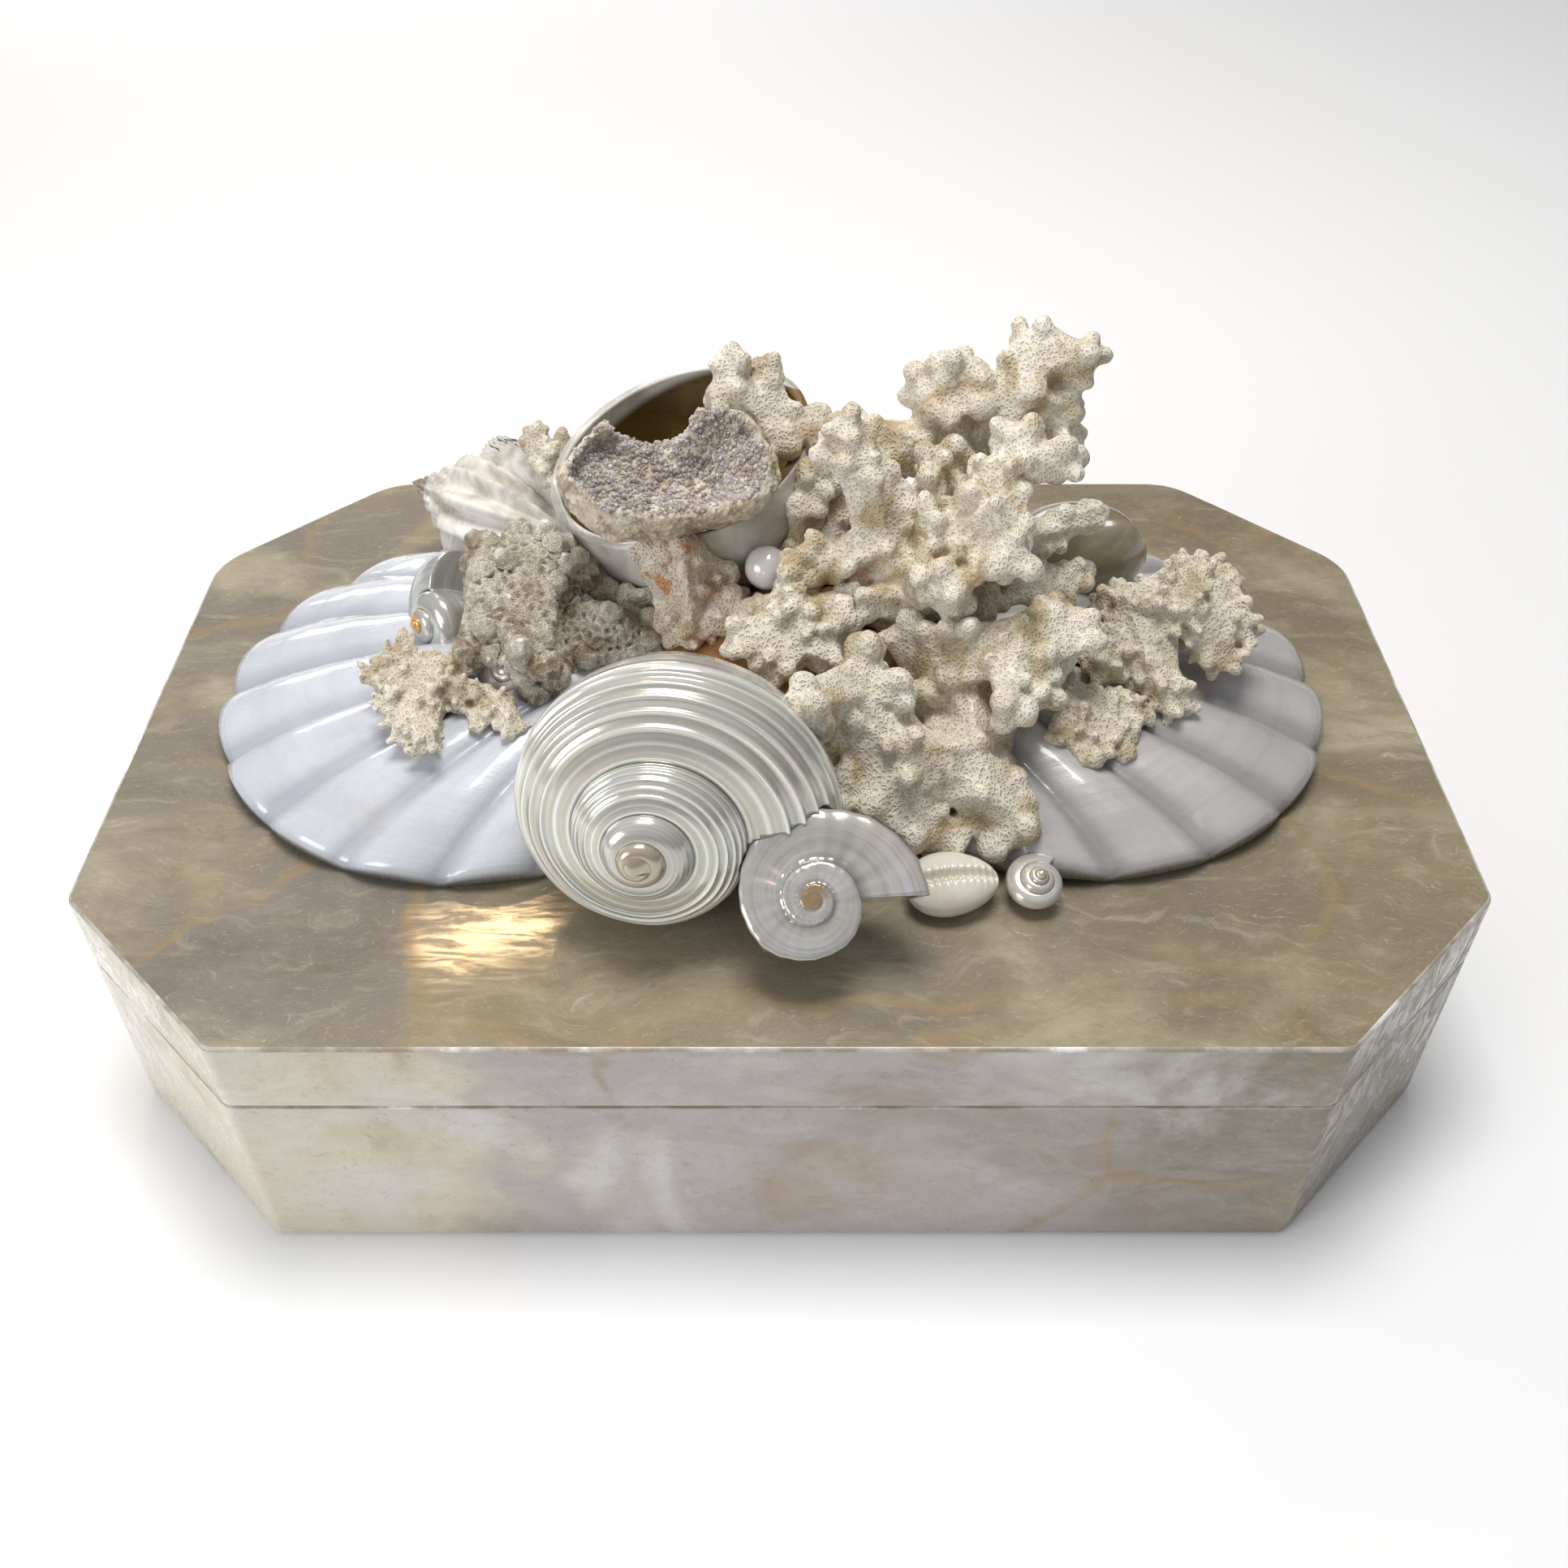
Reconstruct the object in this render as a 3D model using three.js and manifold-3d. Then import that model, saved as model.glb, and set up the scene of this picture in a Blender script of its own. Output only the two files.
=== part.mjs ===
// Lidded box veneered with shell. A heap of shells, a geode and coral is set in glue on its lid.
// Millimetres, +Z up. The box stands on z = 0, its length along X and its front towards -Y.
import * as THREE from "three";
import { ConvexGeometry } from "three/addons/geometries/ConvexGeometry.js";
import { mergeVertices } from "three/addons/utils/BufferGeometryUtils.js";
import Module from "manifold-3d";

const wasm = await Module();
wasm.setup();

// Driving dimensions of the box
const BOX_LENGTH = 320;
const BOX_DEPTH = 214;
const CORNER_CUT = 42;
const FRONT_EDGE_RADIUS = 5;
const BACK_EDGE_RADIUS = 20;
const TRAY_HEIGHT = 51;
const LID_HEIGHT = 19.7;
const WALL = 7;
const FLOOR = 6;
const LID_TOP = 6;
const BOTTOM_ROUNDING = 2;
const TOP_ROUNDING = 0.8;
const LIP_WIDTH = 3;
const LIP_HEIGHT = 5;
const LIP_CLEARANCE = 0.5;

// Clearance between pieces that touch
const GAP = 0.3;
// Largest change that tidying may make to a cut mesh, and to a coral or a room before the cut
const TIDY = 0.05;
const CORAL_TIDY = 1.2;
const ROOM_TIDY = 1;

// A coral knob's corners lie outside its radius by this factor, and its foot is this much slimmer
const BALL_REACH = 1.12;
const FOOT_SHARE = 0.9;

// The glue bed under the heap: half length, half depth, height, and the middle of its oval
const BED = { halfLength: 66, halfDepth: 47, height: 31, x: 7, y: 5, sides: 18, rings: 4 };

const LID_SEAT = TRAY_HEIGHT + GAP;

const UP = new THREE.Vector3(0, 0, 1);
const TURN = 2 * Math.PI;

// Solids and meshes

function solidOf(geometry) {
  const bare = geometry.clone();
  bare.deleteAttribute("normal");
  bare.deleteAttribute("uv");
  const merged = mergeVertices(bare, 1e-4);
  const mesh = new wasm.Mesh({
    numProp: 3,
    vertProperties: new Float32Array(merged.attributes.position.array),
    triVerts: new Uint32Array(merged.index.array),
  });
  return new wasm.Manifold(mesh);
}

function geometryOf(solid) {
  const mesh = solid.getMesh();
  const geometry = new THREE.BufferGeometry();
  geometry.setAttribute("position", new THREE.BufferAttribute(mesh.vertProperties, 3));
  geometry.setIndex(new THREE.BufferAttribute(mesh.triVerts, 1));
  return geometry;
}

function closedGeometry(points, faces) {
  const geometry = new THREE.BufferGeometry();
  geometry.setAttribute("position", new THREE.Float32BufferAttribute(points.flat(), 3));
  geometry.setIndex(faces.flat());
  return geometry;
}

function joined(solids) {
  return solids.reduce((sum, solid) => sum.add(solid));
}

/** The largest separate body of a solid, with slivers shorter than TIDY taken out. */
function wholeBody(solid) {
  const bodies = solid.setTolerance(TIDY).decompose();
  return bodies.reduce((best, body) => (body.volume() > best.volume() ? body : best));
}

function paint(color, roughness, metalness = 0) {
  return new THREE.MeshStandardMaterial({ color, roughness, metalness });
}

function pieceMesh(name, geometry, material) {
  const mesh = new THREE.Mesh(geometry, material);
  mesh.name = name;
  return mesh;
}

/** Sets a mesh on the lid, its axis (local Z) along `axis`, turned by `spin` about it. */
function setOnLid(mesh, [x, y, height], axis = [0, 0, 1], spin = 0) {
  mesh.position.set(x, y, height);
  const along = new THREE.Vector3(...axis).normalize();
  mesh.quaternion.setFromUnitVectors(UP, along);
  mesh.rotateZ(spin);
  mesh.updateMatrix();
  return mesh;
}

function placedSolid(mesh) {
  mesh.updateMatrix();
  return solidOf(mesh.geometry.clone().applyMatrix4(mesh.matrix));
}

function pointsOf(geometry) {
  const places = geometry.attributes.position;
  const points = [];
  for (let i = 0; i < places.count; i += 1) {
    points.push(new THREE.Vector3().fromBufferAttribute(places, i));
  }
  return points;
}

/** The room that a placed shell needs: the convex hull of its shape, larger on every side. */
function roomFor(mesh) {
  const placed = mesh.geometry.clone().applyMatrix4(mesh.matrix);
  const hull = mergeVertices(new ConvexGeometry(pointsOf(placed)).deleteAttribute("normal"));
  const around = pointsOf(new THREE.BoxGeometry(1, 1, 1));
  const margin = 2 * (GAP + ROOM_TIDY);
  const points = pointsOf(hull).flatMap(
    (point) => around.map((corner) => point.clone().addScaledVector(corner, margin)),
  );
  return solidOf(new ConvexGeometry(points)).setTolerance(ROOM_TIDY);
}

/** Cuts the rooms of its neighbours out of a placed mesh. */
function trim(mesh, rooms) {
  mesh.updateMatrix();
  const inward = mesh.matrix.clone().invert();
  let solid = solidOf(mesh.geometry);
  for (const room of rooms) {
    solid = solid.subtract(room.transform(inward.elements));
  }
  mesh.geometry = geometryOf(wholeBody(solid));
  return mesh;
}

// The box

/** Octagon with rounded corners, drawn `inset` inside the outer face of the box. */
function boxOutline(inset) {
  const x = BOX_LENGTH / 2 - inset;
  const y = BOX_DEPTH / 2 - inset;
  const cut = CORNER_CUT - inset * (2 - Math.SQRT2);
  const corners = [
    [x - cut, -y], [x, -y + cut], [x, y - cut], [x - cut, y],
    [-x + cut, y], [-x, y - cut], [-x, -y + cut], [-x + cut, -y],
  ].map(([u, v]) => new THREE.Vector2(u, v));
  const shape = new THREE.Shape();
  corners.forEach((corner, i) => {
    const before = corners[(i + 7) % 8];
    const after = corners[(i + 1) % 8];
    const edgeRadius = corner.y < 0 ? FRONT_EDGE_RADIUS : BACK_EDGE_RADIUS;
    const reach = Math.max(edgeRadius - inset, 1) * Math.tan(Math.PI / 8);
    const start = corner.clone().add(before.clone().sub(corner).setLength(reach));
    const end = corner.clone().add(after.clone().sub(corner).setLength(reach));
    if (i === 0) {
      shape.moveTo(start.x, start.y);
    } else {
      shape.lineTo(start.x, start.y);
    }
    shape.quadraticCurveTo(corner.x, corner.y, end.x, end.y);
  });
  shape.closePath();
  return shape;
}

function boxBlock(inset, from, to, rounding = 0) {
  const geometry = new THREE.ExtrudeGeometry(boxOutline(inset), {
    depth: to - from - 2 * rounding,
    curveSegments: 3,
    bevelEnabled: rounding > 0,
    bevelSize: rounding,
    bevelOffset: -rounding,
    bevelThickness: rounding,
    bevelSegments: 1,
  });
  geometry.translate(0, 0, from + rounding);
  return solidOf(geometry);
}

/** A block rounded along one rim only: the rounded block and a square one are joined. */
function rimBlock(height, rounding, roundedRim) {
  const soft = boxBlock(0, 0, height, rounding);
  const square = roundedRim === "bottom"
    ? boxBlock(0, height / 2, height) : boxBlock(0, 0, height / 2);
  return soft.add(square);
}

function trayMesh() {
  const lip = boxBlock(WALL - LIP_WIDTH, TRAY_HEIGHT / 2, TRAY_HEIGHT + LIP_HEIGHT);
  const inside = boxBlock(WALL, FLOOR, TRAY_HEIGHT + 2 * LIP_HEIGHT);
  const solid = rimBlock(TRAY_HEIGHT, BOTTOM_ROUNDING, "bottom").add(lip).subtract(inside);
  return pieceMesh("box_tray", geometryOf(wholeBody(solid)), paint(0xd8cbb0, 0.25));
}

function lidMesh() {
  const inset = WALL - LIP_WIDTH - LIP_CLEARANCE;
  const inside = boxBlock(inset, -LID_HEIGHT, LID_HEIGHT - LID_TOP);
  const solid = rimBlock(LID_HEIGHT, TOP_ROUNDING, "top").subtract(inside);
  return pieceMesh("box_lid", geometryOf(wholeBody(solid)), paint(0xcabb96, 0.2));
}

// Coiled shells

/**
 * Closed body of a coiled shell, its axis along Z, spire up. The spiral starts at the lip and
 * winds inward to the apex. `radius` is the lip's reach, `growth` the widening in one turn,
 * `spire` the height of the apex above the lip's shoulder and `base` the depth below it.
 */
function coiledShell(shell) {
  const { radius, growth, turns, spire, base } = shell;
  const { perTurn = 20, across = 3, baseRings = 3, boldness = 1 } = shell;
  const { ribs = 0, ribDepth = 0, lift = 1 } = shell;
  const points = [];
  const faces = [];
  const last = perTurn * (turns - 1);
  const heightAt = (r) => spire * (1 - (r / radius) ** lift);
  const place = (step, v) => {
    const angle = (TURN * step) / perTurn;
    const outer = radius * growth ** (-step / perTurn);
    const inner = outer / growth;
    const bow = (Math.PI / 2) * v;
    const rib = 1 + ribDepth * Math.cos(ribs * angle) * Math.cos(bow) ** 2;
    const r = (inner + (outer - inner) * Math.cos(bow) ** boldness) * (v < 1 ? rib : 1);
    const z = heightAt(outer) + (heightAt(inner) - heightAt(outer)) * Math.sin(bow) ** boldness;
    return [r * Math.cos(angle), r * Math.sin(angle), z];
  };
  const index = (step, j) => (j === across ? (step + perTurn) * across : step * across + j);
  for (let step = 0; step <= last + perTurn; step += 1) {
    for (let j = 0; j < across; j += 1) {
      points.push(place(step, j / across));
    }
  }
  for (let step = 0; step < last; step += 1) {
    for (let j = 0; j < across; j += 1) {
      const [a, b] = [index(step, j), index(step + 1, j)];
      const [c, d] = [index(step + 1, j + 1), index(step, j + 1)];
      faces.push([a, b, c], [a, c, d]);
    }
  }
  const apex = points.push([0, 0, spire]) - 1;
  const crown = [];
  for (let step = last; step <= last + perTurn; step += 1) {
    crown.push(index(step, 0));
  }
  for (let j = across - 1; j > 0; j -= 1) {
    crown.push(index(last, j));
  }
  crown.forEach((a, k) => faces.push([a, crown[(k + 1) % crown.length], apex]));
  const rim = [];
  for (let step = 0; step <= perTurn; step += 1) {
    rim.push(index(step, 0));
  }
  for (let j = across - 1; j > 0; j -= 1) {
    rim.push(index(0, j));
  }
  let upper = rim;
  for (let ring = 1; ring <= baseRings; ring += 1) {
    const bow = (Math.PI / 2) * (ring / (baseRings + 1));
    const lower = rim.map((k) => {
      const [x, y, z] = points[k];
      const share = Math.cos(bow);
      return points.push([x * share, y * share, z * share - base * Math.sin(bow)]) - 1;
    });
    upper.forEach((a, k) => {
      const next = (k + 1) % upper.length;
      faces.push([upper[next], a, lower[k]], [upper[next], lower[k], lower[next]]);
    });
    upper = lower;
  }
  const foot = points.push([0, 0, -base]) - 1;
  upper.forEach((a, k) => faces.push([upper[(k + 1) % upper.length], a, foot]));
  return closedGeometry(points, faces);
}

// Scallops

/**
 * A scallop valve lying rim down, its fan towards +X and its beak at the origin. The rim is a
 * circle of `radius` about a middle `reach` away from the beak.
 */
function scallop({ radius, reach, depth, thickness, ribs, ribHeight, fan, rings, perRib }) {
  const spokes = [];
  const fanSteps = ribs * perRib;
  for (let i = 0; i <= fanSteps; i += 1) {
    spokes.push(-fan / 2 + (fan * i) / fanSteps);
  }
  const backSteps = 8;
  for (let i = 1; i < backSteps; i += 1) {
    spokes.push(fan / 2 + ((TURN - fan) * i) / backSteps);
  }
  const rimAt = (angle) => {
    const ahead = reach * Math.cos(angle);
    return ahead + Math.sqrt(ahead ** 2 + radius ** 2 - reach ** 2);
  };
  const ribAt = (i) => (i > fanSteps ? 0 : 0.5 - 0.5 * Math.cos((TURN * i) / perRib));
  const dome = (t) => (1 - t ** 2.4) ** 0.8 * (0.72 + 0.9 * t * (1 - t));
  const top = (t, i) => thickness + (depth - thickness) * dome(t) + ribHeight * ribAt(i) * t ** 0.6;
  const points = [[0, 0, top(0, 0)], [0, 0, top(0, 0) - thickness * 1.5]];
  const faces = [];
  const addRing = (t, heightAt) => spokes.map((angle, i) => {
    const r = rimAt(angle) * t;
    return points.push([r * Math.cos(angle), r * Math.sin(angle), heightAt(i)]) - 1;
  });
  const outer = [];
  for (let ring = 1; ring <= rings; ring += 1) {
    const t = ring / rings;
    outer.push(addRing(t, (i) => top(t, i)));
  }
  const inner = [addRing(1, () => 0)];
  for (const t of [0.93, 0.7, 0.38]) {
    inner.push(addRing(t, () => top(t, 0) - thickness * 1.5));
  }
  const strip = (low, high) => low.forEach((a, k) => {
    const next = (k + 1) % low.length;
    faces.push([a, low[next], high[next]], [a, high[next], high[k]]);
  });
  const cap = (ring, pole, flip) => ring.forEach((a, k) => {
    const b = ring[(k + 1) % ring.length];
    faces.push(flip ? [b, a, pole] : [a, b, pole]);
  });
  for (let ring = rings - 1; ring > 0; ring -= 1) {
    strip(outer[ring], outer[ring - 1]);
  }
  cap(outer[0], 0, false);
  strip(inner[0], outer[rings - 1]);
  for (let ring = 1; ring < inner.length; ring += 1) {
    strip(inner[ring], inner[ring - 1]);
  }
  cap(inner[inner.length - 1], 1, true);
  return closedGeometry(points, faces);
}

// Cowrie, geode and pearl

/** Egg-shaped body with a toothed slit along the top, its length along X. */
function cowrieGeometry({ length, width, height, slitWidth, slitDepth, teeth }) {
  const body = new THREE.SphereGeometry(0.5, 14, 8);
  body.rotateX(Math.PI / 2);
  const places = body.attributes.position;
  for (let i = 0; i < places.count; i += 1) {
    const along = places.getX(i) * 2;
    const fullness = 1 - 0.16 * along;
    places.setXYZ(i, along * length / 2, places.getY(i) * width * fullness,
      places.getZ(i) * height);
  }
  let solid = solidOf(body);
  const slitLength = length * 0.84;
  const slit = new THREE.BoxGeometry(slitLength, slitWidth, slitDepth * 2);
  slit.translate(0, 0, height / 2);
  solid = solid.subtract(solidOf(slit));
  for (let i = 0; i < teeth; i += 1) {
    const along = slitLength * ((i + 0.5) / teeth - 0.5);
    const notch = new THREE.BoxGeometry(slitLength / teeth / 2, slitWidth * 3.2, slitDepth);
    const drop = (height / 2) * (1 - Math.sqrt(1 - (2 * along / length) ** 2));
    notch.translate(along, 0, height / 2 - drop);
    solid = solid.subtract(solidOf(notch));
  }
  return geometryOf(solid);
}

/** Half of a rough nodule, its length along X, its hollow up and a gap in its rim towards +Y. */
function geodeGeometry({ length, width, depth, rimWidth, hollowDepth, roughness, notch }) {
  const outside = new THREE.IcosahedronGeometry(1, 3);
  roughen(outside, roughness);
  outside.scale(length / 2, width / 2, depth);
  const hollow = new THREE.IcosahedronGeometry(1, 2);
  roughen(hollow, roughness * 1.5);
  hollow.scale(length / 2 - rimWidth, width / 2 - rimWidth, hollowDepth);
  hollow.translate(0, 0, depth * 0.2);
  const above = new THREE.BoxGeometry(length * 2, width * 2, depth * 2);
  above.translate(0, 0, depth * 1.2);
  const gap = new THREE.SphereGeometry(notch.radius, 8, 6);
  gap.translate(notch.x, width / 2, depth * 0.2);
  return geometryOf(solidOf(outside).subtract(
    joined([solidOf(above), solidOf(hollow), solidOf(gap)]),
  ));
}

/** Moves each point in or out along its own direction by a wave that never repeats. */
function roughen(geometry, amount) {
  const places = geometry.attributes.position;
  for (let i = 0; i < places.count; i += 1) {
    const point = new THREE.Vector3().fromBufferAttribute(places, i);
    const wave = Math.sin(point.x * 5.1 + 1.3) * Math.cos(point.y * 4.3 - 0.4)
      + Math.sin(point.z * 6.7 + point.x * 3.1);
    point.multiplyScalar(1 + (amount * wave) / 2);
    places.setXYZ(i, point.x, point.y, point.z);
  }
}

// Coral

function ball(centre, radius, spin) {
  const geometry = new THREE.OctahedronGeometry(radius * BALL_REACH, 0);
  geometry.rotateX(spin);
  geometry.rotateZ(spin * 1.7);
  return pointsOf(geometry).map((point) => point.add(centre));
}

/** A knobbly finger from one ball to another. */
function finger(from, to) {
  return solidOf(new ConvexGeometry([
    ...ball(from.place, from.radius, from.spin), ...ball(to.place, to.radius, to.spin),
  ]));
}

/**
 * A branching coral. Each knob is [parent, x, y, height over the lid, radius], with -1 for the
 * knob that stands on the root. `grow` makes every finger thicker.
 */
function coralSolid({ knobs, root }, grow = 0) {
  const balls = knobs.map(([, x, y, height, radius], i) => ({
    place: new THREE.Vector3(x, y, height), radius: radius + grow, spin: i,
  }));
  const foot = { place: new THREE.Vector3(...root), radius: balls[0].radius * FOOT_SHARE, spin: 0 };
  const fingers = knobs.map(([parent], i) => finger(parent < 0 ? foot : balls[parent], balls[i]));
  return grow > 0 ? joined(fingers) : joined(fingers).setTolerance(CORAL_TIDY);
}

// The heap

/** Oval dome of glue, larger by `grow`. */
function bedGeometry(grow = 0) {
  const dome = new THREE.SphereGeometry(1, BED.sides, BED.rings * 2);
  dome.rotateX(Math.PI / 2);
  dome.scale(BED.halfLength + grow, BED.halfDepth + grow, BED.height + grow);
  dome.translate(BED.x, BED.y, 0);
  return dome;
}

const heap = new THREE.Group();
heap.position.z = LID_HEIGHT;

const shells = [];

function addShell(name, geometry, material, place, axis, spin = 0) {
  const mesh = setOnLid(pieceMesh(name, geometry, material), place, axis, spin);
  trim(mesh, shells.map(roomFor));
  shells.push(mesh);
  heap.add(mesh);
  return mesh;
}

const pearly = () => paint(0xd9d5c8, 0.2, 0.1);

addShell("spiral_shell", coiledShell({
  radius: 24, growth: 2.4, turns: 3, spire: 3, base: 14, perTurn: 20, across: 3,
}), paint(0xd2cdc0, 0.3, 0.05), [7, -83.5, 19.3], [0.0, -0.62, 0.78], 0.05);

addShell("turban_shell", coiledShell({
  radius: 40.5, growth: 1.9, turns: 4, spire: 31, base: 28, perTurn: 20, across: 3, lift: 0.9,
}), pearly(), [-26, -59, 26.5], [-0.1, -0.97, 0.2], -0.5);

const SCALLOP = {
  radius: 65.5, reach: 50, depth: 24, thickness: 2.4, ribs: 12, ribHeight: 2.6,
  fan: 2.7, rings: 4, perRib: 3,
};
const RIGHT_BEAK = { x: 20, y: 2, spin: 0.05 };
addShell("scallop_left", scallop(SCALLOP), paint(0xf2f2f6, 0.3), [-24, 3, GAP], [0, 0, 1], Math.PI);
addShell("scallop_right", scallop(SCALLOP), paint(0xe6e2de, 0.3),
  [RIGHT_BEAK.x, RIGHT_BEAK.y, GAP], [0, 0, 1], RIGHT_BEAK.spin);

/** A place on the lid, `beyond` the rim of the right scallop, seen from the middle of its rim. */
function besideScallop(angle, beyond, height) {
  const reach = SCALLOP.radius + beyond;
  return [
    RIGHT_BEAK.x + SCALLOP.reach * Math.cos(RIGHT_BEAK.spin) + reach * Math.cos(angle),
    RIGHT_BEAK.y + SCALLOP.reach * Math.sin(RIGHT_BEAK.spin) + reach * Math.sin(angle),
    height,
  ];
}

addShell("cowrie", cowrieGeometry({
  length: 21, width: 15, height: 11, slitWidth: 1, slitDepth: 1.2, teeth: 9,
}), paint(0xe9e3d2, 0.25), besideScallop(-1.996, 11.9, 6), [0, -0.3, 0.95], 0.1);

addShell("top_shell", coiledShell({
  radius: 8.4, growth: 1.7, turns: 4, spire: 8, base: 3.5, perTurn: 12, across: 2, lift: 0.8,
}), pearly(), besideScallop(-1.755, 5.2, 4), [0.05, -0.3, 0.9], 1);

addShell("geode", geodeGeometry({
  length: 49, width: 30, depth: 17, rimWidth: 3, hollowDepth: 11, roughness: 0.16,
  notch: { radius: 8, x: -4 },
}), paint(0xb5aba5, 0.7), [-25, 4.5, 68], [0, -0.42, 0.9], 0.1);

addShell("mouth_shell", mouthShell({
  radius: 34, depth: 36, wall: 2.4, mouthDrop: 4,
  coil: { radius: 30, growth: 1.9, turns: 3, spire: 24, base: 20, perTurn: 12, across: 2 },
  coilPlace: [2, 4, -14], coilAxis: [0.2, 0.85, -0.5],
}), paint(0xcfc8bb, 0.25), [-24, 35, 51], [-0.28, -0.13, 0.95], 0);

addShell("whelk", coiledShell({
  radius: 18, growth: 1.6, turns: 4, spire: 28, base: 20, perTurn: 20, across: 2, lift: 0.9,
  ribs: 10, ribDepth: 0.12,
}), paint(0xe2dccf, 0.5), [-76, 61, 19], [-0.86, 0.3, 0.15], 0);

addShell("gold_tip_turban", coiledShell({
  radius: 17, growth: 2.2, turns: 3, spire: 12, base: 13, perTurn: 16, across: 3, lift: 0.9,
}), paint(0xb9b4aa, 0.2, 0.1), [-82, 11, 21], [-0.7, -0.6, 0.3], 1);

addShell("pink_shell", coiledShell({
  radius: 10, growth: 2, turns: 3, spire: 5, base: 7, perTurn: 12, across: 2,
}), paint(0xc9bcc0, 0.2, 0.1), [-64, -14, 24], [-0.2, -0.6, 0.7], 0);

addShell("olive_shell", coiledShell({
  radius: 18, growth: 2, turns: 3, spire: 14, base: 20, perTurn: 14, across: 2,
}), paint(0xaba58f, 0.2), [76, 36, 26], [-0.5, 0.4, -0.5], 2);

addShell("pearl", new THREE.SphereGeometry(5.3, 14, 8), paint(0xe6dfe2, 0.15), [-3, 3, 42]);

/** A globe of one wall, open upwards at its mouth, with the coil of its spire behind it. */
function mouthShell({ radius, depth, wall, mouthDrop, coil, coilPlace, coilAxis }) {
  const globe = new THREE.SphereGeometry(radius, 16, 10);
  globe.rotateX(Math.PI / 2);
  const hollow = globe.clone();
  globe.scale(1, 1, depth / radius);
  hollow.scale(1 - wall / radius, 1 - wall / radius, (depth - wall) / radius);
  const spire = setOnLid(pieceMesh("", coiledShell(coil), null), coilPlace, coilAxis);
  const above = new THREE.BoxGeometry(radius * 3, radius * 3, depth * 2);
  above.translate(0, 0, depth + mouthDrop);
  const solid = solidOf(globe).add(placedSolid(spire)).subtract(solidOf(above));
  return geometryOf(wholeBody(solid.subtract(solidOf(hollow))));
}

const bed = pieceMesh("glue_bed", bedGeometry(), paint(0x8a5a2b, 0.35));
bed.position.z = GAP;
const belowLid = new THREE.BoxGeometry(BOX_LENGTH, BOX_DEPTH, BED.height * 2);
belowLid.translate(0, 0, GAP - BED.height);
trim(bed, [solidOf(belowLid), ...shells.map(roomFor)]);
heap.add(bed);

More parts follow.
